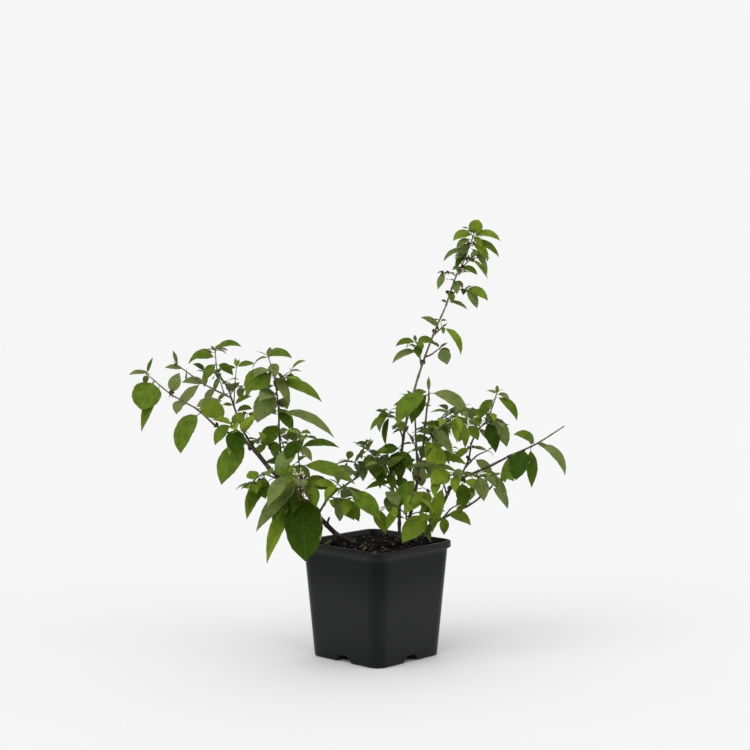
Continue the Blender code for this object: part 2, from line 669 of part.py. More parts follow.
def build_soil(finish):
    """The compost that fills the pot, level on top."""
    rings = [wall_ring(FLOOR + GAP, WALL + GAP), wall_ring(SOIL_LEVEL, WALL + GAP)]
    return join("soil", [loft(rings)], finish)


def world_shape(item):
    """Vertices and faces of an object as it is drawn."""
    seen = item.evaluated_get(bpy.context.evaluated_depsgraph_get())
    mesh = seen.to_mesh()
    verts = [item.matrix_world @ v.co for v in mesh.vertices]
    faces = [tuple(face.vertices) for face in mesh.polygons]
    seen.to_mesh_clear()
    return verts, faces


def main():
    for item in list(bpy.data.objects):
        bpy.data.objects.remove(item)
    plastic = material("pot_plastic", (0.022, 0.023, 0.025), 0.42)
    compost = material("compost", (0.035, 0.024, 0.017), 0.95)
    bark = material("bark", (0.085, 0.062, 0.045), 0.8)
    green = [material(f"leaf_green_{i}", colour, 0.5) for i, colour in
             enumerate(((0.07, 0.16, 0.025), (0.11, 0.22, 0.03), (0.045, 0.11, 0.02)))]
    space = Space()
    for item in (build_pot(plastic), build_soil(compost)):
        bpy.context.view_layer.update()
        space.add(world_shape(item))
    knots = {}
    for name, place, radius in KNOTS:
        knots.setdefault(name, []).append((place, radius * MM))
    paths = {}
    for name, limb in LIMBS.items():
        start = start_of(limb, paths, limb.root * MM, LIMB_SIDES, space)
        points = [Vector(p) * MM for p in limb.points]
        if limb.parent is None:
            points = points[1:]
        path = smooth([start] + points, LIMB_STEP)
        shapes = [tube(path, limb_radii(limb, path), LIMB_SIDES, limb.parent is None)]
        shapes += [knot(on_path(path, place)[0], radius) for place, radius in knots.get(name, [])]
        paths[name] = path
        if not space.free(shapes[0]):
            raise ValueError(f"{name} crosses something that already stands")
        space.add(world_shape(join(name, shapes, bark)))
    shoots = {}
    for name, mass in MASSES.items():
        start = start_of(mass, paths, TWIG_ROOT, TWIG_SIDES, space)
        shoots[name] = grow_shoots(name, mass, start, space)
    for number, (name, mass) in enumerate(MASSES.items()):
        shapes = [shoot_tube(path) for path, _, _ in shoots[name]]
        for place, radius in knots.get(name, []):
            shapes.append(knot(on_path(shoots[name][0][0], place)[0], radius))
        shapes += [leaf_solid(leaf) for leaf in grow_leaves(name, mass, shoots[name], space)]
        space.add(world_shape(join(name, shapes, green[number % len(green)])))


main()
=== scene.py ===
"""A potted beautyberry over its solid model: bark, leaves, dry fruit, compost and a square pot."""

import functools
import json
import math
import random
from collections import namedtuple

import bpy
from bpy.props import FloatProperty, FloatVectorProperty, IntProperty, PointerProperty
from mathutils import Matrix, Vector, noise
from mathutils.bvhtree import BVHTree

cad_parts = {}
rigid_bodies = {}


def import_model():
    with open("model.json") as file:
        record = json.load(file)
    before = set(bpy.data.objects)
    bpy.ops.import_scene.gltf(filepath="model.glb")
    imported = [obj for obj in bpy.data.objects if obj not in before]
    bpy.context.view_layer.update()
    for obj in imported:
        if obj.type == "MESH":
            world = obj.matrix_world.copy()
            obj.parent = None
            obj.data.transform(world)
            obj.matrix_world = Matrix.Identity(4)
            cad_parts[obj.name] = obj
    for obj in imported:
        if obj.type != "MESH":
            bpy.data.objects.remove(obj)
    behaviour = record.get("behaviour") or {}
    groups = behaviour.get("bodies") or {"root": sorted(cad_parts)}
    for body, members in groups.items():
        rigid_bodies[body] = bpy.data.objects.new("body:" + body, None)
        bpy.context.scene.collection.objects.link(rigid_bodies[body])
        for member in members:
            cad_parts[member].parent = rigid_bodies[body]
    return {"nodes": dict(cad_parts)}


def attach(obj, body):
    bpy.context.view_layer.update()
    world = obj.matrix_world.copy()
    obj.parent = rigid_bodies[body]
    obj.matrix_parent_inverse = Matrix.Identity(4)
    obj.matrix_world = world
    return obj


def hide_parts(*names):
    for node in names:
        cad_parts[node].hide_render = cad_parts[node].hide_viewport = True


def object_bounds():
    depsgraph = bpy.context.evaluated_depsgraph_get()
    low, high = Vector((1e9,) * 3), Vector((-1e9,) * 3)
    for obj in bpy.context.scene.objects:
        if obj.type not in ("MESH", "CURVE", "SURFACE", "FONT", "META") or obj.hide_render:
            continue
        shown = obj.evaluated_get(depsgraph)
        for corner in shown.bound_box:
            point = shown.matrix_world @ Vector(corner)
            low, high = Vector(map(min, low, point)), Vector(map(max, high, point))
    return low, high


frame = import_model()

bl_info = {
    "name": "Potted beautyberry",
    "version": (1, 0, 0),
    "blender": (4, 5, 0),
    "location": "3D View > Sidebar > Beautyberry",
    "description": "Dresses the solid model of a potted beautyberry",
    "category": "Object",
}

CAD_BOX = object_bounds()
MM = 0.001
GAP = 0.3 * MM
UP = Vector((0, 0, 1))

# Growth rule: the same as in the solids
SOIL_LEVEL = 124.5 * MM
LIMB_SIDES = 6
LIMB_STEP = 13 * MM
TWIG_SIDES = 3
TWIG_STEP = 17 * MM
TWIG_TIP = 0.85 * MM
TWIG_ROOT = 1.3 * MM
TWIG_ARCH = 0.12
LEAN_OUT = 0.35
LEAF_STATIONS = ((0.32, 0.95), (0.68, 0.82))
LEAF_SLENDER = 0.56
LEAF_THICKNESS = 1 / 45
LEAF_ROOM = 0.5 * MM
LEAF_SINK = 0.2 * MM
FOOT_HALF = 0.4 * MM
TIP_SINK = 2 * MM
LIGHT = Vector((0, -0.85, 0.5))
TURN_TO_LIGHT = 0.85
TRIES = 20

# The least bend of a leaf, and the least level reach of a leaf and of a spur that still gives a direction
STRAIGHTEST = 1e-3
LEAST_CHORD = 1e-4
LEAST_SPUR = 1e-6

# How a shoot is seated on its limb, in mm: how far out and in which steps it is tried, with what stub
SEAT_REACH = 12
SEAT_STEP = 0.1
STUB = 5

# How paired leaves vary: the turn from pair to pair, how much smaller the last pair is, the range of size,
# how far a leaf is turned at first and more at each try, how flat a pair lies, and the ranges of the way
# ahead and up, of bend and roll in degrees, and of width
PAIR_TURN = 0.25
PAIR_TAPER = 0.3
PAIR_SIZE = (0.82, 1.15)
PAIR_SPREAD = 0.12
PAIR_SEARCH = 0.09
PAIR_FLATTEN = 0.6
PAIR_AHEAD = (0.3, 0.8)
PAIR_RISE = (-0.3, 0.25)
PAIR_BEND = (40, 95)
PAIR_ROLL = (-35, 35)
PAIR_WIDTH = (0.85, 1.15)

# How a single leaf is swung, nodded and rolled until it stands clear
SWING = (-0.09, 0.09)
NOD = (-0.07, 0.07)
LOOSE_ROLL = (-0.2, 0.2)

# The bud at a shoot's tip, as shares of the shoot's largest leaf, its bend, and how far it opens on a
# shoot with one pair of leaves
BUD_LENGTH = 0.35
BUD_WIDTH = 0.1
BUD_BEND = 0.5
NARROW = 0.35

# Finer twigs: their radii, the arch of a spur and of a spray's twig, and how wide a spur's leaves are
SPUR_RADII = [0.5 * MM, 0.42 * MM, 0.34 * MM]
SPUR_ARCH = 0.06
SPRAY_ARCH = 0.08
SPUR_SLENDER = 0.42

# How high the flare of a stem's foot reaches, and how far the swelling at a node
FLARE_LENGTH = 11 * MM
NODE_REACH = 1.6 * MM

# Seeds of the random draws: those of the spurs are so much more than their mass's own
SPUR_SEEDS = 500
SPRAY_SEED = 21
BARK_SEED = 11
TWIG_SEED = 12
TONE_SEED = 13
FRUIT_SEED = 14

Limb = namedtuple("Limb", "parent place root tip points")
Mass = namedtuple("Mass", "parent place pairs leaf seed points twigs leaves")
Single = namedtuple("Single", "place tip width bend tone slim oval short", defaults=[None, 1.0, 0.3, 1.0])
Leaf = namedtuple("Leaf", "root along bend length width roll tone oval", defaults=[None, 0.3])
Spray = namedtuple("Spray", "carrier shoot place leaves mass end fruit", defaults=[None, None, False])
Plant = namedtuple("Plant", "limbs shoots leaves spurs")

# Each limb: what carries it and where, its radii at root and tip, and the points of its axis, in mm
LIMBS = {
    "left_stem": Limb(None, 0, 3.2, 1.9,
        [(-25, 18, 125), (-42, 10, 134), (-59, 0, 152), (-85, -15, 182), (-120, -30, 217)]),
    "left_outer_bough": Limb("left_stem", 1, 1.7, 1.1,
        [(-143, -34, 245), (-165, -36, 258), (-180, -36, 267)]),
    "left_upper_bough": Limb("left_stem", 0.93, 1.4, 1.0,
        [(-145, -8, 249), (-159, 10, 276), (-165, 18, 292)]),
    "left_crown_bough": Limb("left_stem", 0.88, 1.4, 1.1, [(-107, -16, 230), (-109, -12, 258)]),
    "cross_bough": Limb("left_stem", 0.42, 1.5, 1.0, [(-53, 5, 180), (-40, 20, 188), (-25, 35, 196)]),
    "tall_stem": Limb(None, 0, 2.6, 1.2,
        [(27, 30, 125), (27, 30, 167), (28, 30, 208), (33, 30, 254), (44, 30, 300), (54, 30, 332),
         (66, 32, 364), (80, 34, 396)]),
    "second_stem": Limb(None, 0, 2.3, 1.8, [(33, 12, 125), (40, 8, 164), (48, 5, 202)]),
    "second_stem_left": Limb("second_stem", 1, 1.4, 1.0, [(46, 20, 238), (45, 35, 267)]),
    "second_stem_right": Limb("second_stem", 0.93, 1.4, 1.0,
        [(53, -10, 239), (57, -20, 283), (59, -22, 293)]),
    "right_stem": Limb(None, 0, 2.4, 1.7,
        [(48, 18, 125), (57, 12, 140), (65, 6, 152), (78, -4, 178), (83, -10, 190), (97, -18, 205)]),
    "right_outer_bough": Limb("right_stem", 1, 1.5, 1.2, [(125, -33, 219), (148, -45, 233)]),
    "right_upright_bough": Limb("right_stem", 0.93, 1.3, 1.0, [(104, -5, 222), (108, 10, 240)]),
    "low_right_stem": Limb(None, 0, 1.7, 1.1,
        [(44, 25, 125), (62, 35, 142), (86, 48, 153), (113, 60, 165), (133, 70, 180)]),
    "low_left_shoot": Limb(None, 0, 1.5, 1.0,
        [(16, 14, 125), (8, -6, 152), (-7, -24, 167), (-21, -40, 183), (-30, -48, 192)]),
}

# Each mass of leaves: what carries it and where, its pairs of leaves and the longest, its seed, the points
# of its main shoot, its side twigs by place, tip, pairs and longest leaf, and its single leaves by place,
# way to the tip, width, bend and green, how much narrower than the solid, how oval, and how much shorter
MASSES = {
    "left_tip": Mass("left_outer_bough", 1, 1, 20, 1,
        [(-198, -34, 283), (-228, -30, 300), (-255, -25, 322)], [],
        [(0.2, (-22, -6, -45), 25, 65, "middle", 0.95, 0.8),
         (0.26, (29, -6, -11), 24, 85, "middle", 1.0, 0.7), (0.3, (30, 8, 11), 13, 30, "olive"),
         (0.62, (9, 6, 24), 14, 20, "olive"), (0.79, (-20, -10, -51), 14, 25, "middle", 0.8),
         (0.88, (-13, -12, -32), 33, 25, "middle", 1.0, 1.0), (0.5, (-3, -8, -16), 14, 40, "olive", 0.8)]),
    "left_shoulder": Mass("left_outer_bough", 0.3, 2, 34, 29, [(-149, -50, 258), (-159, -62, 270)], [],
        [(0.25, (-28, -14, -46), 30, 45, "middle", 0.95, 0.5),
         (0.85, (3, -14, -29), 21, 30, "deep", 1.0, 0.6), (0.95, (-19, 4, -23), 14, 60, "middle"),
         (0.9, (13, 10, 11), 14, 60, "middle")]),
    "left_lower": Mass("left_stem", 0.86, 2, 28, 19, [(-126, -50, 213), (-138, -66, 204)], [],
        [(0.5, (-19, -8, -49), 15, 25, "middle"), (0.85, (-6, 6, 10), 15, 50, "bright"),
         (0.7, (3, 10, -27), 14, 40, "dark")]),
    "left_front": Mass("left_stem", 0.66, 3, 34, 43, [(-83, -40, 205), (-86, -44, 234), (-84, -40, 252)],
        [(0.35, (-100, -78, 198), 2, 40)],
        [(0.12, (7, -30, -75), 40, 25, "deep", 1.05, 1.0), (0.1, (-35, -32, -77), 24, 40, "bright", 0.68),
         (0.3, (-48, -34, -49), 26, 30, "olive", 0.72), (0.6, (62, -16, -19), 22, 45, "middle", 0.8),
         (0.85, (45, 4, 0), 9, 60, "dark"), (0.46, (-28, -24, -25), 18, 50, "yellow"),
         (0.34, (35, -12, -8), 22, 45, "middle", 0.8), (0.85, (-25, -14, -28), 19, 50, "olive", 0.9, 0.6),
         (0.3, (-32, -10, -41), 16, 30, "dark")]),
    "left_crown": Mass("left_crown_bough", 1, 5, 36, 49, [(-110, -5, 286), (-115, 0, 318), (-122, 8, 340)],
        [(0.45, (-138, 18, 306), 2, 30), (0.55, (-96, 26, 322), 2, 30)],
        [(0.72, (-31, -20, -16), 29, 50, "middle", 0.95, 0.5),
         (0.5, (-21, -20, -33), 27, 40, "olive", 0.9, 0.4), (0.73, (18, -14, -33), 15, 35, "olive", 0.8),
         (0.62, (53, -8, -21), 14, 55, "middle"), (0.3, (14, -16, -24), 17, 30, "dark", 0.8),
         (0.24, (63, -10, -29), 16, 50, "olive", 0.85), (0.98, (27, -4, -1), 9, 90, "middle"),
         (0.9, (7, -12, -15), 13, 50, "olive"), (0.97, (-1, 2, 13), 6, 20, "olive")]),
    "left_upper_tip": Mass("left_upper_bough", 1, 1, 14, 32, [(-194, 22, 306), (-229, 28, 330)],
        [(0.1, (-184, 34, 318), 1, 14)],
        [(0.42, (-29, 8, 2), 10, 60, "olive"), (0.25, (-14, 10, -18), 13, 50, "olive"),
         (0.85, (-21, -4, 2), 8, 40, "olive"), (0.8, (-1, 10, -20), 12, 40, "olive")]),
    "left_crest": Mass("left_upper_bough", 0.78, 3, 22, 56,
        [(-170, 34, 301), (-182, 37, 322), (-184, 39, 335), (-185, 40, 346)],
        [(0.1, (-160, 38, 327), 1, 28), (0.5, (-201, 66, 318), 1, 28), (0.3, (-154, 60, 302), 2, 28)],
        [(0.97, (31, -4, 5), 9, 90, "middle"), (0.95, (-32, 6, -14), 12, 70, "middle"),
         (0.8, (-13, -8, -20), 12, 45, "middle"), (0.78, (19, -6, -12), 10, 60, "dark"),
         (0.88, (-26, -10, -1), 11, 60, "middle")]),
    "left_back": Mass("left_stem", 0.8, 4, 36, 32, [(-98, 20, 209), (-112, 60, 245)],
        [(0.5, (-140, 56, 240), 2, 32), (0.6, (-84, 84, 240), 2, 34)], []),
    "cross_tip": Mass("cross_bough", 1, 3, 34, 13, [(-16, 45, 208), (-3, 52, 222)],
        [(0.4, (-34, 66, 214), 2, 32)], [(0.2, (-32, -12, 2), 20, 50, "olive", 0.75)]),
    "cross_low": Mass("cross_bough", 0.35, 2, 34, 32, [(-40, -20, 180), (-27, -40, 185)], [],
        [(0.05, (18, -6, -21), 16, 50, "bright", 0.85), (0.6, (19, -6, -24), 16, 35, "middle")]),
    "low_mid": Mass("low_left_shoot", 1, 2, 34, 21, [(-36, -55, 198), (-43, -62, 205)], [],
        [(0.1, (36, -12, -30), 24, 45, "middle", 0.85)]),
    "centre_left": Mass("tall_stem", 0.2, 4, 36, 29, [(9, 0, 217), (-10, -12, 236)],
        [(0.35, (4, -34, 222), 2, 30), (0.5, (-14, 22, 236), 2, 30)], []),
    "centre_left_back": Mass("tall_stem", 0.13, 4, 38, 28, [(14, 60, 192), (-5, 85, 212)],
        [(0.5, (34, 92, 206), 2, 34)], []),
    "tall_twig": Mass("tall_stem", 0.43, 2, 36, 24, [(23, 15, 268), (14, 0, 275)], [], []),
    "second_left_tip": Mass("second_stem_left", 1, 2, 30, 3, [(44, 40, 282), (42, 42, 292)], [], []),
    "second_right_tip": Mass("second_stem_right", 1, 1, 22, 29, [(59, -24, 311), (60, -24, 321)], [],
        [(0.2, (-35, -14, -33), 26, 75, "middle", 0.9), (0.22, (-19, 10, -35), 18, 50, "dark"),
         (0.25, (43, -8, -30), 21, 80, "olive", 0.85)]),
    "right_crown_front": Mass("second_stem_right", 0.45, 4, 42, 26, [(69, -30, 260), (89, -45, 280)],
        [(0.4, (64, -52, 250), 2, 38), (0.6, (98, -28, 262), 2, 34)], []),
    "right_crown": Mass("right_upright_bough", 1, 3, 32, 40,
        [(116, 20, 254), (128, 30, 266), (139, 36, 296)],
        [(0.3, (96, 34, 268), 2, 30), (0.4, (140, 10, 262), 1, 28)],
        [(0.9, (-18, -10, -24), 12, 55, "middle"), (0.93, (24, -8, -27), 11, 70, "middle"),
         (0.6, (20, -10, -35), 17, 45, "olive", 1.0, 0.6), (0.5, (10, -16, -35), 18, 40, "deep", 0.9)]),
    "right_mid": Mass("right_upright_bough", 0.3, 1, 24, 31, [(113, -20, 230), (125, -30, 237)], [],
        [(0.4, (20, -10, -19), 16, 35, "olive", 0.75)]),
    "right_front": Mass("right_stem", 0.72, 3, 46, 26, [(73, -35, 207), (66, -55, 221)],
        [(0.4, (92, -58, 214), 2, 38)], [(0.3, (-14, -18, -52), 20, 25, "bright", 0.75)]),
    "right_arm": Mass("right_outer_bough", 0.3, 1, 26, 9, [(113, -45, 210), (130, -62, 214)], [],
        [(0.1, (33, -8, -27), 18, 55, "olive", 0.75), (0.25, (6, -14, -28), 20, 35, "olive", 0.8)]),
    "right_tip": Mass("right_outer_bough", 1, 0, 30, 26, [(176, -55, 247), (206, -65, 268)], [],
        [(0.44, (-24, -2, 11), 11, 85, "middle"), (0.42, (-13, -10, 5), 10, 60, "middle"),
         (0.47, (31, -6, -35), 13, 75, "olive"), (0.28, (-12, -14, -33), 23, 45, "deep", 1.0, 0.7),
         (0.36, (1, -6, -45), 13, 25, "dark"), (0.3, (-29, 12, -42), 14, 30, "middle"),
         (0.46, (17, 8, -12), 8, 60, "middle")]),
    "low_right": Mass("low_right_stem", 1, 2, 28, 4, [(142, 76, 189), (153, 80, 194)],
        [(0.3, (132, 98, 196), 2, 28)], [(0.1, (19, -8, -25), 14, 60, "olive", 0.8)]),
    "low_right_front": Mass("low_right_stem", 0.4, 1, 28, 4, [(87, 20, 165), (98, 5, 173)], [],
        [(0.2, (28, -14, -11), 14, 65, "bright"), (0.1, (-1, -8, -21), 11, 25, "bright"),
         (0.7, (25, 8, 13), 14, 50, "olive", 0.85)]),
    "centre_front": Mass("second_stem", 0.3, 3, 46, 37, [(34, -25, 164), (40, -50, 188)],
        [(0.4, (60, -46, 166), 2, 40), (0.5, (14, -50, 176), 2, 34)], []),
    "centre_back": Mass("second_stem_left", 0.3, 4, 40, 12, [(52, 70, 216), (66, 95, 240)],
        [(0.5, (36, 92, 246), 2, 32), (0.5, (90, 84, 222), 2, 36)], []),
    "right_back": Mass("second_stem_left", 0.8, 3, 38, 41, [(72, 56, 262), (101, 80, 276)],
        [(0.5, (98, 54, 280), 2, 30)], []),
    "tall_mid_left": Mass("tall_stem", 0.735, 1, 20, 21, [(49, 20, 346), (45, 15, 357)], [],
        [(0.9, (-24, -4, -4), 9, 75, "middle"), (0.5, (-31, -8, -13), 10, 70, "olive"),
         (0.85, (2, -10, -15), 10, 40, "dark"), (0.93, (21, 4, 0), 11, 60, "middle")]),
    "tall_mid_right": Mass("tall_stem", 0.775, 1, 22, 36, [(64, 30, 341), (74, 25, 349)], [],
        [(0.85, (9, -8, -18), 15, 50, "olive")]),
    "tall_node": Mass("tall_stem", 0.87, 1, 14, 49, [(73, 20, 370), (77, 12, 374)], [],
        [(0.5, (-22, -4, 14), 9, 60, "olive", 0.85),
         (0.85, (23, -6, -36), 12, 70, "bright", 0.85, 0.4, 0.88)]),
    "tall_top": Mass("tall_stem", 1, 6, 22, 14, [(91, 30, 429), (100, 28, 447), (112, 25, 480)],
        [(0.1, (102, 22, 416), 1, 24), (0.4, (76, 22, 434), 1, 15), (0.5, (122, 38, 452), 1, 20)],
        [(0.95, (-23, -6, -6), 15, 90, "bright", 0.85),
         (0.93, (41, -4, -6), 13, 90, "bright", 0.85, 0.4, 0.76),
         (0.88, (41, 4, -24), 13, 60, "middle", 0.8, 0.4, 0.78),
         (0.86, (19, -8, -22), 12, 60, "bright", 0.8), (0.8, (24, -4, -37), 9, 50, "olive", 0.8, 0.3, 0.85),
         (0.97, (7, 6, 21), 15, 20, "bright", 1.05, 1.0, 0.8),
         (0.9, (-20, -10, -13), 11, 70, "olive", 0.75, 0.3, 0.9),
         (0.75, (-33, -4, -15), 9, 80, "olive", 0.8, 0.3, 0.85),
         (0.05, (23, -6, -9), 7, 50, "olive", 0.9)]),
}

# Clusters of dry fruit: on which limb or mass, where, and how large in mm
KNOTS = [
    ("left_stem", 0.62, 3.4), ("left_outer_bough", 0.35, 4.0), ("left_outer_bough", 0.95, 3.6),
    ("second_stem", 0.96, 4.0), ("right_stem", 0.97, 4.2), ("right_stem", 0.8, 3.2),
    ("right_upright_bough", 0.5, 3.4), ("left_tip", 0.6, 4.2), ("left_crown", 0.3, 5.0),
    ("left_crown", 0.75, 4.8), ("left_front", 0.35, 5.0), ("left_front", 0.12, 4.0),
    ("right_crown", 0.5, 3.0), ("tall_top", 0.15, 3.2), ("tall_top", 0.62, 3.4), ("tall_stem", 0.75, 2.6),
    ("tall_stem", 0.88, 3.0),
]

# A cluster at a node: its reach as a share of its size, and the size in mm that has the usual count
KNOT_REACH = 1.35
USUAL_KNOT = 7

# A cluster on a spray: the ways in which it spreads, its reach, and its fruit on each side
SPRAY_WAYS = ((1, -0.5, 0.2), (-1, -0.5, 0.3))
SPRAY_REACH = 4 * MM
SPRAY_BEADS = 5

# Radii of a cluster's stalk, of its fine stalks and of the long stalk of the pale cluster
STALK_RADII = [0.42 * MM, 0.36 * MM, 0.3 * MM]
STALKLET_RADII = [0.28 * MM, 0.24 * MM, 0.24 * MM]
LONG_STALK = 0.55 * MM

# The pale cluster: where on its shoot its stalk begins, the bend and the end of the stalk in mm from there,
# and its fruit by share of the way from bend to end, kind, count and reach in mm
PALE_ROOT = 0.12
PALE_BEND = (7, -58, -1)
PALE_END = (1, -65, 28)
PALE_FRUIT = ((-0.1, "dry_fruit", 8, 9), (0.05, "dry_fruit", 12, 9), (0.2, "dry_fruit", 12, 9),
              (0.4, "dry_fruit", 8, 9), (0.9, "pale_fruit", 6, 6), (1.0, "pale_fruit", 16, 6))

# The greens, from the deepest to the palest: besides the leaves' own tones, the deeper stand for painted
# shade and the paler for painted light
TONES = ("deep", "dark", "middle", "olive", "bright", "yellow")
DULL = 0.06
GLOSS = {"olive": 0.16}

# The dark heart of the shrub, and how far its shade reaches from there and from the front
HEART = (30 * MM, 10 * MM)
HEART_REACH = 110 * MM
FRONT_REACH = 60 * MM

# Masses whose shoot ends bare of fine twigs, and those where it ends in a closed bud
BARE_TIPS = ("second_right_tip", "left_tip", "left_upper_tip", "right_tip")
CLOSED_TIPS = ("second_right_tip",)

# How much deeper the greens are of a mass that stands in shade, and how much paler in the light
SHADED = {"centre_left": 0.7, "centre_left_back": 0.9, "left_back": 0.6, "cross_tip": 1.0, "centre_back": 1.3,
          "tall_twig": 0.5, "centre_front": -0.5, "right_front": -0.8, "low_right": -0.9,
          "low_right_front": -1.1, "right_arm": -1.3, "right_crown": -1.0, "right_crown_front": -1.0,
          "right_back": -1.0, "right_mid": -1.3}

# How much narrower the paired leaves are than those of the solids, and how much smaller in masses where
# the photo shows more sky
SLIM = 0.88
FINER = {"right_crown_front": 0.8, "right_back": 0.8, "right_crown": 0.85, "right_mid": 0.85,
         "low_right": 0.8, "low_right_front": 0.8, "centre_left": 0.78, "centre_left_back": 0.8,
         "centre_back": 0.9, "tall_top": 0.8, "tall_twig": 0.88, "left_back": 0.9}

# Leaves that are left out where the photo shows none, by their number in their mass
LEFT_OUT = {"left_front": (19, 20, 21, 22), "right_crown_front": (0, 2, 6, 10, 11, 12, 13, 15),
            "right_front": (1, 2, 9), "centre_front": (2, 4, 9)}

# How much thinner a stem is than its solid, and a side twig than the main one of its mass
THINNER = {"tall_stem": 0.8}
SIDE_TWIG = 0.72

# The stems and boughs with young bark by how their names begin, the heights between which the painted
# shade low on the bark fades out, and how deep a stem stands in the compost
YOUNG = ("tall", "second")
PAINTED_SHADE_HEIGHTS = (0.24, 0.33)
FOOT_SINK = 4 * MM

# The stub of a broken twig on the left stem
STUB_PLACE = 0.3
STUB_POINTS = ((1.5, -1, 5), (3, -2, 9))
STUB_RADII = [1.4 * MM, 1.3 * MM, 1.1 * MM]

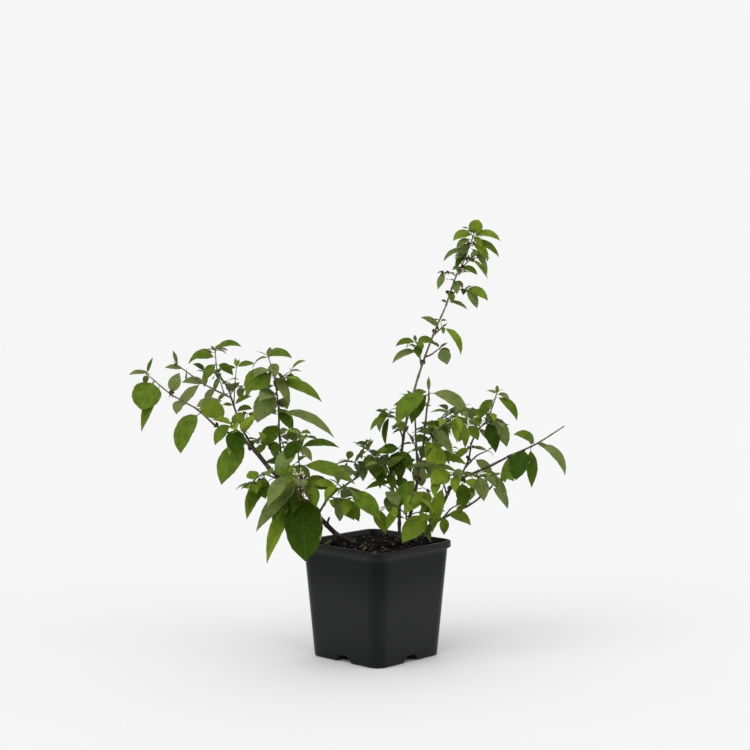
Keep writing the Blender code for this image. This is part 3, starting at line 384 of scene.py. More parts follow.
# Finer growth within the reach of each mass: the limb, or the mass and the number of its shoot, that
# carries it, the place there, its leaves by way to the tip, width, bend and green, the mass that it belongs
# to if that isn't the carrier, the end of its twig if it has one, and whether it bears fruit
SPRAYS = [
    Spray("left_tip", 0, 1, [((7, 0, 19), 4.5, 15, "middle"), ((-20, -3, -1), 6.8, 60, "olive")]),
    Spray("left_upper_tip", 0, 0.97, [((-5, 0, 17), 4.5, 12, "olive")]),
    Spray("left_upper_tip", 0, 0.5, [((-28, -13, -34), 13.6, 25, "olive")]),
    Spray("left_crest", 0, 0.62, [((-7, -6, -19), 6.8, 18, "olive")]),
    Spray("left_crest", 0, 0.1, [((21, -10, 11), 9, 45, "middle"), ((-13, -4, 1), 5.6, 30, "middle")]),
    Spray("left_upper_bough", None, 0.82, [((19, -8, 4), 9, 65, "dark")], mass="left_crest"),
    Spray("left_upper_bough", None, 0.55,
        [((-18, -6, -11), 9, 50, "middle"), ((15, -8, -8), 9, 55, "yellow")],
        mass="left_back", end=(4, -7, 22), fruit=True),
    Spray("left_upper_bough", None, 0.25,
        [((-12, -6, -12), 10.2, 30, "middle"), ((15, -8, -8), 12.4, 40, "dark"),
         ((-9, -6, 14), 9, 30, "yellow")], mass="left_back", end=(9, -7, 12), fruit=True),
    Spray("left_crown", 0, 0.08, [((-17, -20, -26), 19.2, 28, "dark")]),
    Spray("left_crown", 0, 0.3, [((17, -10, -25), 11.3, 30, "dark")]),
    Spray("left_crown", 0, 0.45, [((-24, -18, -19), 10.2, 40, "middle")]),
    Spray("left_crown", 0, 0.22, [((-18, -17, 11), 11.3, 60, "bright")]),
    Spray("left_front", 0, 0.97, [((-15, -12, -20), 15.8, 25, "deep")]),
    Spray("left_front", 0, 0.9, [((14, -4, -18), 9, 30, "olive")]),
    Spray("left_front", 0, 0.3, [((-24, -18, -36), 17, 30, "olive"), ((-13, -10, 4), 7, 40, "middle")],
        end=(-11, -26, 15)),
    Spray("left_front", 0, 0.25, [((27, -6, -2), 10.2, 40, "bright"), ((5, -10, -23), 11.3, 30, "middle")],
        end=(13, -17, 4)),
    Spray("left_front", 0, 0.2, [((-8, -25, -28), 12.4, 25, "dark")]),
    Spray("left_stem", None, 0.9,
        [((-19, -12, -12), 9, 35, "middle"), ((-15, -14, -36), 12.4, 30, "dark"),
         ((10, -8, -23), 13.6, 25, "dark")], mass="left_lower", end=(-15, -18, -9)),
    Spray("second_right_tip", 0, 0.3, [((0, 0, 19), 4, 12, "olive"), ((2, -3, 15), 3, 14, "middle")]),
    Spray("second_stem_right", None, 0.72,
        [((32, -20, -36), 14.7, 32, "olive"), ((31, 4, -25), 25, 50, "dark")],
        mass="right_crown_front", end=(-2, -7, 1)),
    Spray("second_stem_right", None, 0.3, [((43, -28, -8), 14.7, 45, "middle")],
        mass="right_crown_front", end=(2, -7, -1)),
    Spray("right_front", 0, 0.5,
        [((-24, -14, -11), 21.5, 30, "yellow"), ((13, -10, -2), 11.3, 60, "olive")], end=(10, -20, 11)),
    Spray("right_stem", None, 0.97,
        [((27, -18, -14), 11.3, 60, "yellow"), ((2, -12, -29), 16.9, 22, "dark")],
        mass="right_arm", end=(1, -9, -1), fruit=True),
    Spray("right_crown", 0, 0.35,
        [((-19, -10, 1), 10.2, 50, "bright"), ((-10, -12, -17), 12.4, 40, "bright"),
         ((12, -8, -17), 12.4, 40, "middle"), ((1, -10, -25), 7.9, 25, "bright")], end=(-17, -25, 5)),
    Spray("right_crown", 0, 0.62,
        [((-19, -17, -4), 10.2, 60, "bright"), ((-14, -11, 2), 7.9, 40, "middle")]),
    Spray("right_crown_front", 0, 0.9,
        [((-26, -2, 4), 4, 75, "olive"), ((4, -16, -28), 9, 25, "bright"),
         ((14, -12, -25), 11.3, 35, "middle")]),
    Spray("right_upright_bough", None, 0.95,
        [((-25, -20, -14), 9, 35, "bright"), ((19, -10, -3), 4.5, 30, "olive"),
         ((-15, -18, -7), 6.8, 30, "middle")], mass="right_mid", end=(-1, -11, -1), fruit=True),
    Spray("second_stem", None, 0.82,
        [((-31, -20, -24), 19.2, 35, "bright"), ((-10, -24, -22), 11.3, 30, "middle")],
        mass="centre_front", end=(16, -34, 3), fruit=True),
    Spray("second_stem", None, 0.97, [((-29, -28, -34), 16.9, 35, "middle")],
        mass="centre_front", end=(-1, -11, 3)),
    Spray("centre_front", 1, 1, [((-31, -14, -28), 24, 35, "middle")]),
    Spray("tall_stem", None, 0.38,
        [((-16, -12, -26), 15, 25, "deep"), ((-5, -14, -36), 14, 25, "dark"),
         ((-25, -6, -5), 13, 50, "dark"), ((12, -10, -26), 12, 30, "dark")],
        mass="centre_left", end=(-2, -10, 2)),
    Spray("second_stem", None, 0.8, [((-12, -8, -24), 14, 30, "deep"), ((15, -8, -16), 13, 35, "dark")],
        mass="centre_front", end=(1, -8, 1)),
    Spray("centre_left", 0, 0.6, [((-6, -19, -20), 12.4, 22, "deep")]),
    Spray("centre_left", 0, 0.45, [((6, -23, -18), 10.2, 25, "dark")]),
    Spray("centre_left", 0, 0.82, [((-10, -17, -15), 12.4, 35, "dark"), ((15, -7, 9), 7.9, 60, "middle")]),
    Spray("centre_left", 0, 0.2, [((-33, -20, -5), 7.9, 40, "middle")]),
    Spray("tall_twig", 0, 0.9, [((-23, -10, -19), 6.8, 60, "middle"), ((-16, -14, -28), 6.8, 45, "dark")]),
    Spray("cross_bough", None, 0.22, [((31, -20, -21), 14.7, 35, "bright")],
        mass="cross_low", end=(1, -8, 5)),
    Spray("low_left_shoot", None, 0.75, [((22, -14, -22), 14.7, 30, "middle")],
        mass="low_mid", end=(10, -5, -2)),
    Spray("low_right_stem", None, 0.72, [((2, -6, 20), 9, 30, "dark")], mass="low_right", end=(1, -8, 5)),
    Spray("tall_top", 1, 1, [((25, -6, -14), 11.3, 60, "bright"), ((15, -10, -19), 10.2, 35, "olive")]),
    Spray("tall_top", 2, 0.85, [((-8, -5, -21), 7.9, 30, "olive"), ((-10, -1, -5), 3.4, 50, "olive")],
        fruit=True),
    Spray("tall_top", 0, 0.35, [((2, -8, -17), 9, 20, "olive")]),
    Spray("tall_top", 0, 0.52, [((16, -7, -12), 9, 60, "middle"), ((-10, -11, -3), 5.6, 40, "olive")],
        fruit=True),
    Spray("tall_top", 0, 0.66, [((8, -4, 7), 6.8, 60, "olive"), ((20, 2, -23), 5.6, 35, "bright")],
        end=(6, -6, -1), fruit=True),
    Spray("tall_top", 0, 0.76, [((-19, -9, -15), 9, 25, "dark"), ((-23, -7, -18), 3.4, 35, "olive")]),
    Spray("tall_top", 0, 0.85, [((-16, -12, -6), 10.2, 50, "olive")], fruit=True),
    Spray("tall_top", 0, 0.95, [((9, -15, -13), 7.9, 30, "bright")]),
    Spray("tall_top", 0, 0.04, [((-7, -2, 2), 4, 50, "olive")]),
    Spray("tall_node", 0, 0.5, [], fruit=True),
]


def smooth(points, step):
    """Points about a step apart on a curve through the given ones."""
    ends = [2 * points[0] - points[1]] + points + [2 * points[-1] - points[-2]]
    path = [points[0]]
    for before, start, end, after in zip(ends, ends[1:], ends[2:], ends[3:]):
        count = max(1, round((end - start).length / step))
        for i in range(1, count + 1):
            t = i / count
            slope = end - before
            square = 2 * before - 5 * start + 4 * end - after
            cube = 3 * start - before - 3 * end + after
            path.append(start + 0.5 * (slope * t + square * t ** 2 + cube * t ** 3))
    return path


def on_path(path, place):
    """The point at a share of the path's length, and the direction there."""
    lengths = [(b - a).length for a, b in zip(path, path[1:])]
    left = place * sum(lengths)
    for a, b, length in zip(path, path[1:], lengths):
        if left <= length:
            return a.lerp(b, left / length), (b - a).normalized()
        left -= length
    return path[-1].copy(), (path[-1] - path[-2]).normalized()


def loft(rings):
    """Vertices and faces of a closed body through the rings, in order, with both ends capped."""
    size = len(rings[0])
    verts = [point for ring in rings for point in ring]
    faces = [tuple(reversed(range(size)))]
    for i in range(len(rings) - 1):
        for k in range(size):
            a = i * size + k
            b = i * size + (k + 1) % size
            faces.append((a, b, b + size, a + size))
    faces.append(tuple(range(len(verts) - size, len(verts))))
    return verts, faces


def tube(path, radii, sides):
    """Vertices and faces of a closed round bar along a path."""
    rings = []
    across = (path[1] - path[0]).orthogonal().normalized()
    for i, (centre, radius) in enumerate(zip(path, radii)):
        ahead = (path[min(i + 1, len(path) - 1)] - path[max(i - 1, 0)]).normalized()
        across = (across - ahead * across.dot(ahead)).normalized()
        over = ahead.cross(across)
        turns = [math.tau * k / sides for k in range(sides)]
        rings.append([centre + radius * (math.cos(turn) * across + math.sin(turn) * over) for turn in turns])
    return loft(rings)


def level_side(way, least, spare=Vector((1, 0, 0))):
    """The level direction across a way, or the spare one where the way is nearly upright."""
    side = way.cross(UP)
    return (side if side.length > least else spare).normalized()


def leaf_frame(leaf, share):
    """Centre, ahead, side and face directions at a share of the blade, which bends down as an arc."""
    down = hang_of(leaf)
    most = max(leaf.bend, STRAIGHTEST)
    angle = most * share
    centre = leaf.root + leaf.length * (math.sin(angle) * leaf.along + (1 - math.cos(angle)) * down) / most
    ahead = math.cos(angle) * leaf.along + math.sin(angle) * down
    face = math.sin(angle) * leaf.along - math.cos(angle) * down
    rolled = Matrix.Rotation(leaf.roll, 3, ahead)
    return centre, ahead, rolled @ ahead.cross(face), rolled @ face


def hang_of(leaf):
    """The direction in which a leaf bends."""
    down = -UP - leaf.along * leaf.along.dot(-UP)
    return down.normalized() if down.length > 0.05 else leaf.along.orthogonal().normalized()


def leaf_solid(leaf, room=0.0, blade_only=False):
    """The plain solid leaf: a thin blade with a ridge along its middle, and a foot sunk in the twig."""
    verts = []
    faces = []
    if blade_only:
        faces.append((2, 1, 0))
    else:
        centre, ahead, _, face = leaf_frame(leaf, 0.0)
        foot = centre - LEAF_SINK * ahead
        verts += [foot - FOOT_HALF * face, foot + FOOT_HALF * face]
        faces += [(0, 2, 4), (1, 3, 2), (1, 4, 3), (1, 2, 0), (0, 4, 1)]
    first = len(verts)
    thick = leaf.length * LEAF_THICKNESS
    for place, share in LEAF_STATIONS:
        centre, _, side, face = leaf_frame(leaf, place)
        reach = leaf.width / 2 * share + room
        verts += [centre - reach * side - room * face, centre + (thick + room) * face,
                  centre + reach * side - room * face]
    verts.append(leaf_frame(leaf, 1.0)[0])
    for row in range(len(LEAF_STATIONS) - 1):
        for k in range(3):
            a = first + 3 * row + k
            b = first + 3 * row + (k + 1) % 3
            faces.append((a, b, b + 3, a + 3))
    last = len(verts) - 4
    for k in range(3):
        faces.append((last + k, last + (k + 1) % 3, last + 3))
    return verts, faces


def box_of(verts):
    """The lowest and the highest corner of a box round the vertices."""
    return [min(v[i] for v in verts) for i in range(3)], [max(v[i] for v in verts) for i in range(3)]


class Space:
    """What already stands, so that nothing grows through it."""

    def __init__(self):
        self.filled = []

    def add(self, shape, owner=None):
        low, high = box_of(shape[0])
        self.filled.append((low, high, BVHTree.FromPolygons(*shape), owner))

    def free(self, shape, owner=None):
        """Whether a shape touches nothing that stands, apart from what has the same owner."""
        low, high = box_of(shape[0])
        tree = None
        for other_low, other_high, other, holder in self.filled:
            if owner and holder == owner:
                continue
            if any(low[i] > other_high[i] or high[i] < other_low[i] for i in range(3)):
                continue
            tree = tree or BVHTree.FromPolygons(*shape)
            if tree.overlap(other):
                return False
        return True


def seat(axis_point, direction, radius, sides, space):
    """The nearest place outwards from a limb's axis where a new shoot's end stands clear of the bark."""
    best = axis_point + direction * SEAT_REACH * MM
    for number in range(round(SEAT_REACH / SEAT_STEP), 0, -1):
        start = axis_point + direction * number * SEAT_STEP * MM
        stub = [start - direction * GAP, start + direction * STUB * MM]
        if not space.free(tube(stub, [radius + GAP] * 2, sides)):
            break
        best = start
    return best


def start_of(row, paths, radius, sides, space):
    """Where a limb or a mass begins: on the soil, or seated on the limb that carries it."""
    first = Vector(row.points[0]) * MM
    if row.parent is None:
        return Vector((first.x, first.y, SOIL_LEVEL + GAP))
    root, ahead = on_path(paths[row.parent], row.place)
    direction = (first - root).normalized()
    if row.place < 1:
        direction = (direction - LEAN_OUT * ahead * direction.dot(ahead)).normalized()
    return seat(root, direction, radius, sides, space)


def node_leaves(path, pairs, largest, rng):
    """Opposite pairs of leaves, each pair a quarter turn from the last."""
    turn = rng.uniform(0, math.pi)
    for i in range(pairs):
        place = (i + 1) / pairs
        root, ahead = on_path(path, place)
        root = root - ahead * TIP_SINK * place
        side = level_side(ahead, 0.2, ahead.orthogonal())
        over = side.cross(ahead)
        turn += math.pi / 2 + rng.uniform(-PAIR_TURN, PAIR_TURN)
        for way in (1, -1):
            size = largest * (1 - PAIR_TAPER * place ** 2) * rng.uniform(*PAIR_SIZE)
            yield root, ahead, side, over, turn + (0 if way > 0 else math.pi), size


def stands_clear(leaf, name, space, own, foot=True):
    """Whether a leaf keeps off everything else, and its blade off the other blades of its own mass."""
    blade = leaf_solid(leaf, LEAF_ROOM, blade_only=True)
    whole = leaf_solid(leaf, LEAF_ROOM) if foot else blade
    if not space.free(whole, name) or not own.free(blade):
        return False
    own.add(blade)
    return True


def free_leaf(node, name, space, own, rng):
    """A leaf at a node, turned and bent until it stands clear, or None."""
    root, ahead, side, over, turn, size = node
    for attempt in range(TRIES):
        spread = PAIR_SPREAD + PAIR_SEARCH * attempt
        angle = turn + rng.uniform(-spread, spread)
        out = math.cos(angle) * side + PAIR_FLATTEN * math.sin(angle) * over
        along = out.normalized() + rng.uniform(*PAIR_AHEAD) * ahead + rng.uniform(*PAIR_RISE) * UP
        along.normalize()
        bend = math.radians(rng.uniform(*PAIR_BEND))
        roll = math.radians(rng.uniform(*PAIR_ROLL))
        width = size * LEAF_SLENDER * rng.uniform(*PAIR_WIDTH)
        leaf = Leaf(root, along, bend, size * MM, width * MM, roll)
        if stands_clear(leaf, name, space, own):
            return leaf
    return None


def chord_leaf(root, row, name, space, own, rng, foot=True):
    """A leaf given by where its tip goes, swung about its root until it stands clear, or None."""
    chord = Vector(row.tip) * MM
    bend = math.radians(row.bend)
    level = level_side(chord, LEAST_CHORD)
    for attempt in range(TRIES):
        swing = Matrix.Rotation(rng.uniform(*SWING) * attempt, 3, UP)
        lift = Matrix.Rotation(rng.uniform(*NOD) * attempt, 3, level)
        aim = swing @ lift @ chord
        along = (Matrix.Rotation(bend / 2, 3, level_side(aim, LEAST_CHORD)) @ aim).normalized()
        length = aim.length * (bend / 2) / math.sin(bend / 2)
        leaf = Leaf(root, along, bend, length, row.width * MM, 0.0)
        _, ahead, _, face = leaf_frame(leaf, 0.5)
        to_light = LIGHT - ahead * LIGHT.dot(ahead)
        roll = math.atan2(ahead.dot(face.cross(to_light)), face.dot(to_light))
        leaf = leaf._replace(roll=TURN_TO_LIGHT * roll + rng.uniform(*LOOSE_ROLL))
        if stands_clear(leaf, name, space, own, foot):
            return leaf
    return None


def shoot_tube(path):
    """A three-sided twig that tapers along its path."""
    last = len(path) - 1
    radii = [TWIG_ROOT + (TWIG_TIP - TWIG_ROOT) * i / last for i in range(last + 1)]
    return tube(path, radii, TWIG_SIDES)


def grow_shoots(name, mass, start, space):
    """The main shoot of a mass and its side twigs, each with its leaf pairs and largest leaf."""
    main = smooth([start] + [Vector(p) * MM for p in mass.points], TWIG_STEP)
    shoots = [(main, mass.pairs, mass.leaf)]
    for place, tip, pairs, leaf in mass.twigs:
        root, _ = on_path(main, place)
        end = Vector(tip) * MM
        middle = root.lerp(end, 0.5) + UP * TWIG_ARCH * (end - root).length
        path = smooth([root, middle, end], TWIG_STEP)
        if space.free(shoot_tube(path), name):
            shoots.append((path, pairs, leaf))
    for path, _, _ in shoots:
        space.add(shoot_tube(path), name)
    return shoots


def grow_leaves(name, mass, shoots, space, own):
    """The leaves of one mass: the single ones first, then the pairs and the tip of each shoot."""
    rng = random.Random(mass.seed)
    leaves = []
    for row in (Single(*values) for values in mass.leaves):
        leaf = chord_leaf(on_path(shoots[0][0], row.place)[0], row, name, space, own, rng)
        if leaf:
            leaves.append(leaf._replace(tone=row.tone, width=leaf.width * row.slim, oval=row.oval,
                                        length=leaf.length * row.short))
    for path, pairs, largest in shoots:
        if name in CLOSED_TIPS:
            continue
        for node in node_leaves(path, pairs, largest, rng):
            leaf = free_leaf(node, name, space, own, rng)
            if leaf:
                finer = FINER.get(name, 1.0)
                leaves.append(leaf._replace(width=SLIM * finer * leaf.width, length=finer * leaf.length))
        tip, ahead = on_path(path, 1.0)
        root = tip - ahead * TIP_SINK
        roll = rng.uniform(-1, 1)
        bud = Leaf(root, ahead, BUD_BEND, BUD_LENGTH * largest * MM, BUD_WIDTH * largest * MM, roll)
        if stands_clear(bud, name, space, own) and pairs:
            leaves += open_bud(bud, NARROW if pairs == 1 else 1.0, rng)
    if name not in LEFT_OUT:
        return leaves
    own.filled.clear()
    kept = [leaf for number, leaf in enumerate(leaves) if number not in LEFT_OUT[name]]
    for leaf in kept:
        own.add(leaf_solid(leaf, LEAF_ROOM, blade_only=True))
    return kept


def spray_mass(spray):
    """The mass that a spray belongs to."""
    return spray.mass or spray.carrier


def spray_root(spray, limbs, shoots):
    """Where a spray grows from its carrier."""
    path = limbs[spray.carrier] if spray.shoot is None else shoots[spray.carrier][spray.shoot][0]
    return on_path(path, spray.place)[0]


def grow_spray(spray, limbs, shoots, space, own, rng):
    """The twig and the leaves of one of the finer sprays."""
    root = spray_root(spray, limbs, shoots)
    twigs = []
    if spray.end:
        end = root + Vector(spray.end) * MM
        twigs.append([root, root.lerp(end, 0.5) + UP * SPRAY_ARCH * (end - root).length, end])
        root = end
    leaves = []
    for row in (Single(None, *values) for values in spray.leaves):
        leaf = chord_leaf(root, row, spray_mass(spray), space, own, rng, foot=False)
        if leaf:
            leaves.append(leaf._replace(tone=row.tone, oval=rng.uniform(0.0, 0.6)))
    return twigs, leaves


def open_bud(bud, spread, rng):
    """The pair of narrow young leaves that open from the bud at a shoot's tip."""
    side = level_side(bud.along, 0.1)
    pair = []
    for way in (1, -1):
        along = (bud.along + way * spread * rng.uniform(0.3, 0.8) * side + 0.2 * UP).normalized()
        length = 1.5 * bud.length * rng.uniform(0.7, 1.1)
        bend = spread * rng.uniform(0.4, 1.0)
        pair.append(Leaf(bud.root, along, bend, length, 0.35 * length, rng.uniform(-0.8, 0.8)))
    return pair


def node_shape(name):
    """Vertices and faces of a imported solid."""
    mesh = frame["nodes"][name].data
    return [v.co.copy() for v in mesh.vertices], [tuple(face.vertices) for face in mesh.polygons]


def grow_spurs(name, shoots, space, own, rng):
    """Finer twigs at some nodes, no longer than the leaves reach, each with small young leaves."""
    wood = bpy.context.scene.berry_wood
    size = bpy.context.scene.berry_leaf
    spurs = []
    leaves = []
    for path, pairs, _ in shoots:
        for i in range(pairs + 1):
            if rng.random() > wood.spur_share or (pairs < 2 and name in BARE_TIPS):
                continue
            root, ahead = on_path(path, min(1.0, (i + rng.uniform(0.35, 1.0)) / (pairs + 1)))
            turn = rng.uniform(0, math.tau)
            side = ahead.orthogonal().normalized()
            out = math.cos(turn) * side + math.sin(turn) * ahead.cross(side)
            reach = wood.spur_length * rng.uniform(0.4, 1.0)
            tip = root + (out + 0.7 * ahead + 0.35 * UP).normalized() * reach
            spur = [root, root.lerp(tip, 0.5) + UP * SPUR_ARCH * reach, tip]
            if not space.free(tube(spur, [SPUR_RADII[0]] * 3, TWIG_SIDES), name):
                continue
            spurs.append(spur)
            for way in (1, -1):
                across = way * level_side(tip - root, LEAST_SPUR)
                along = (across + 0.8 * (tip - root).normalized()).normalized()
                length = size.young * rng.uniform(0.6, 1.3)
                bend = math.radians(rng.uniform(30, 80))
                leaf = Leaf(tip, along, bend, length, SPUR_SLENDER * length, rng.uniform(-0.6, 0.6))
                if stands_clear(leaf, name, space, own):
                    leaves.append(leaf)
    return spurs, leaves


@functools.cache
def grow_plant():
    """Every limb, shoot, leaf and spur, by the rule that the solids were made by."""
    space = Space()
    for name in ("pot", "soil"):
        space.add(node_shape(name))
    limbs = {}
    for name, limb in LIMBS.items():
        start = start_of(limb, limbs, limb.root * MM, LIMB_SIDES, space)
        points = [Vector(p) * MM for p in limb.points]
        if limb.parent is None:
            points = points[1:]
        limbs[name] = smooth([start] + points, LIMB_STEP)
        space.add(node_shape(name))
    shoots = {}
    for name, mass in MASSES.items():
        start = start_of(mass, limbs, TWIG_ROOT, TWIG_SIDES, space)
        shoots[name] = grow_shoots(name, mass, start, space)
    leaves = {}
    own = {}
    for name, mass in MASSES.items():
        own[name] = Space()
        leaves[name] = grow_leaves(name, mass, shoots[name], space, own[name])
        space.add(node_shape(name), name)
    spurs = {name: [] for name in MASSES}
    rng = random.Random(SPRAY_SEED)
    for spray in SPRAYS:
        name = spray_mass(spray)
        twigs, fine = grow_spray(spray, limbs, shoots, space, own[name], rng)
        spurs[name] += twigs
        leaves[name] += fine
    for name, mass in MASSES.items():
        rng = random.Random(mass.seed + SPUR_SEEDS)
        twigs, young = grow_spurs(name, shoots[name], space, own[name], rng)
        spurs[name] += twigs
        leaves[name] += young
    return Plant(limbs, shoots, leaves, spurs)


class Port:
    """An output of a node, with arithmetic that adds the next node."""

    def __init__(self, tree, node, key=0):
        self.tree = tree
        self.node = node
        self.key = key

    @property
    def socket(self):
        return self.node.outputs[self.key]

    def out(self, key):
        return Port(self.tree, self.node, key)

    def maths(self, operation, *others):
        values = dict(enumerate((self,) + others))
        return self.tree.node("ShaderNodeMath", values, operation=operation)

    def smooth_step(self, low, high):
        """0 below low and 1 above high."""
        return self.tree.node("ShaderNodeMapRange", {0: self, 1: low, 2: high},
                              interpolation_type="SMOOTHSTEP")

    def __add__(self, other):
        return combine("ADD", self, other)

    __radd__ = __add__

    def __sub__(self, other):
        return combine("SUBTRACT", self, other)

    def __rsub__(self, other):
        return combine("SUBTRACT", other, self)

    def __mul__(self, other):
        return combine("MULTIPLY", self, other)

    __rmul__ = __mul__

    def __truediv__(self, other):
        return combine("DIVIDE", self, other)


def is_vector(value):
    return isinstance(value, Port) and value.socket.type == "VECTOR"


def combine(operation, first, second):
    """The Math or Vector Math node for two values, of which one at least is a port."""
    tree = first.tree if isinstance(first, Port) else second.tree
    if not is_vector(first) and not is_vector(second):
        return tree.node("ShaderNodeMath", {0: first, 1: second}, operation=operation)
    if operation == "MULTIPLY" and not (is_vector(first) and is_vector(second)):
        vector, number = (first, second) if is_vector(first) else (second, first)
        return tree.node("ShaderNodeVectorMath", {0: vector, "Scale": number}, operation="SCALE")
    return tree.node("ShaderNodeVectorMath", {0: first, 1: second}, operation=operation)


class Tree:
    """Adds nodes to a node tree."""

    def __init__(self, tree):
        self.nodes = tree.nodes
        self.links = tree.links

    def node(self, kind, values=None, **settings):
        """A node of that type: its settings are set first, then its sockets by name or number."""
        made = self.nodes.new(kind)
        for key, value in settings.items():
            setattr(made, key, value)
        for key, value in (values or {}).items():
            socket = made.inputs[key]
            if isinstance(value, Port):
                self.links.new(value.socket, socket)
            elif socket.type == "RGBA" and len(value) == 3:
                socket.default_value = (*value, 1)
            else:
                socket.default_value = value
        return Port(self, made)

    def mix(self, share, first, second, blend="MIX"):
        """Two colours mixed."""
        made = self.node("ShaderNodeMix", {0: share, 6: first, 7: second}, data_type="RGBA",
                         blend_type=blend)
        return made.out(2)

    def part_of(self, vector, axis):
        """One coordinate of a vector."""
        return self.node("ShaderNodeSeparateXYZ", {"Vector": vector}).out(axis)

    def finish_with(self, shader):
        end = next(node for node in self.nodes if node.bl_idname.startswith("ShaderNodeOutput"))
        self.links.new(shader.socket, end.inputs["Surface"])


class Finish(Tree):
    """A Principled material that is built up node by node."""

    def __init__(self, name, colour, roughness, specular=0.5):
        self.material = bpy.data.materials.new(name)
        self.material.use_nodes = True
        super().__init__(self.material.node_tree)
        self.shader = self.nodes["Principled BSDF"]
        self.shader.inputs["Base Color"].default_value = (*colour, 1)
        self.shader.inputs["Roughness"].default_value = roughness
        self.shader.inputs["Specular IOR Level"].default_value = specular
        self.place = self.node("ShaderNodeTexCoord").out("Object")

    def feed(self, name, port):
        self.links.new(port.socket, self.shader.inputs[name])

    def noise(self, scale, detail=3.0, place=None):
        """Noise from 0 to 1 at that many bumps a metre."""
        return self.node("ShaderNodeTexNoise",
                         {"Vector": place or self.place, "Scale": scale, "Detail": detail})

    def cells(self, scale):
        """The distance to the middle of the nearest cell."""
        return self.node("ShaderNodeTexVoronoi", {"Vector": self.place, "Scale": scale})

    def attribute(self, name):
        return self.node("ShaderNodeAttribute", attribute_name=name).out("Fac")

    def stretched(self, x, y, z):
        """The object's coordinates, scaled apart in each direction."""
        return self.node("ShaderNodeMapping", {"Vector": self.place, "Scale": (x, y, z)})

    def bump(self, height, distance, strength):
        made = self.node("ShaderNodeBump", {"Strength": strength, "Distance": distance, "Height": height})
        self.feed("Normal", made)


class Growth(Tree):
    """A Geometry Nodes tree with named inputs, ending in realised shapes and their material."""

    def __init__(self, name, inputs):
        self.group = bpy.data.node_groups.new(name, "GeometryNodeTree")
        face = self.group.interface
        face.new_socket("Geometry", in_out="INPUT", socket_type="NodeSocketGeometry")
        for label, kind in inputs:
            face.new_socket(label, in_out="INPUT", socket_type=f"NodeSocket{kind}")
        face.new_socket("Geometry", in_out="OUTPUT", socket_type="NodeSocketGeometry")
        super().__init__(self.group)
        self.inputs = self.node("NodeGroupInput")
        self.geometry = self.inputs.out("Geometry")

    def given(self, label):
        return self.inputs.out(label)

    def attribute(self, name, kind="FLOAT"):
        return self.node("GeometryNodeInputNamedAttribute", {"Name": name}, data_type=kind)

    def chance(self, seed, low=None, high=None):
        """A random number from 0 to 1 for each point, or a random vector between two."""
        if low is None:
            return self.node("FunctionNodeRandomValue", {"Seed": seed}, data_type="FLOAT").out(1)
        return self.node("FunctionNodeRandomValue", {0: low, 1: high, "Seed": seed},
                         data_type="FLOAT_VECTOR")

    def on_points(self, points, shape, **values):
        return self.node("GeometryNodeInstanceOnPoints", {"Points": points, "Instance": shape, **values})

    def realized(self, geometry):
        return self.node("GeometryNodeRealizeInstances", {"Geometry": geometry})

    def smoothed(self, geometry):
        return self.node("GeometryNodeSetShadeSmooth", {"Geometry": geometry, "Shade Smooth": True})

    def moved(self, geometry, **values):
        return self.node("GeometryNodeSetPosition", {"Geometry": geometry, **values})

    def roughened(self, geometry, scale, detail, depth):
        """Geometry moved along its normals by noise of that many bumps a metre."""
        place = self.node("GeometryNodeInputPosition")
        bumps = self.node("ShaderNodeTexNoise", {"Vector": place, "Scale": scale, "Detail": detail})
        normal = self.node("GeometryNodeInputNormal")
        return self.moved(geometry, Offset=normal * ((bumps - 0.5) * depth))

    def coloured(self, geometry, material, chosen=True):
        return self.node("GeometryNodeSetMaterial",
                         {"Geometry": geometry, "Selection": chosen, "Material": material})

    def close(self, geometry):
        end = self.node("NodeGroupOutput")
        self.links.new(geometry.socket, end.node.inputs[0])


def run_growth(name, mesh, growth, values):
    """The plain mesh object that a Geometry Nodes tree makes of a mesh."""
    seed = new_object(name + "_seed", mesh)
    step = seed.modifiers.new("Growth", "NODES")
    step.node_group = growth.group
    for item in growth.group.interface.items_tree:
        if item.name in values:
            step[item.identifier] = values[item.name]
    seen = seed.evaluated_get(bpy.context.evaluated_depsgraph_get())
    made = bpy.data.meshes.new_from_object(seen)
    seed.modifiers.clear()
    bpy.data.objects.remove(seed)
    made.name = name
    return new_object(name, made)


def new_object(name, data):
    """An object of that mesh, light or camera in the scene."""
    made = bpy.data.objects.new(name, data)
    bpy.context.scene.collection.objects.link(made)
    return made


def mesh_of(name, verts, edges, faces):
    mesh = bpy.data.meshes.new(name)
    mesh.from_pydata([tuple(v) for v in verts], edges, faces)
    return mesh


def set_attribute(mesh, name, kind, values, domain="POINT"):
    """A named attribute on a mesh, from a list of numbers or vectors."""
    made = mesh.attributes.new(name, kind, domain)
    flat = [c for value in values for c in value] if kind == "FLOAT_VECTOR" else values
    made.data.foreach_set("vector" if kind == "FLOAT_VECTOR" else "value", flat)


def dress(piece, slot, nodes=()):
    """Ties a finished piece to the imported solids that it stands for, if it stands for any."""
    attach(piece, "root")
    if nodes:
        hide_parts(*nodes)


def wood_growth(material):
    """Round wood along lines of points that carry their girth, with bark relief."""
    g = Growth("round_wood", [("Sides", "Int"), ("Relief", "Float"), ("Grain", "Float")])
    curve = g.node("GeometryNodeMeshToCurve", {"Mesh": g.geometry})
    ring = g.node("GeometryNodeCurvePrimitiveCircle", {"Resolution": g.given("Sides"), "Radius": 1.0})
    bar = g.node("GeometryNodeCurveToMesh", {"Curve": curve, "Profile Curve": ring,
                                             "Scale": g.attribute("girth"), "Fill Caps": True})
    bark = g.realized(g.roughened(bar, g.given("Grain"), 3.0, g.given("Relief")))
    g.close(g.coloured(g.smoothed(bark), material))
    return g


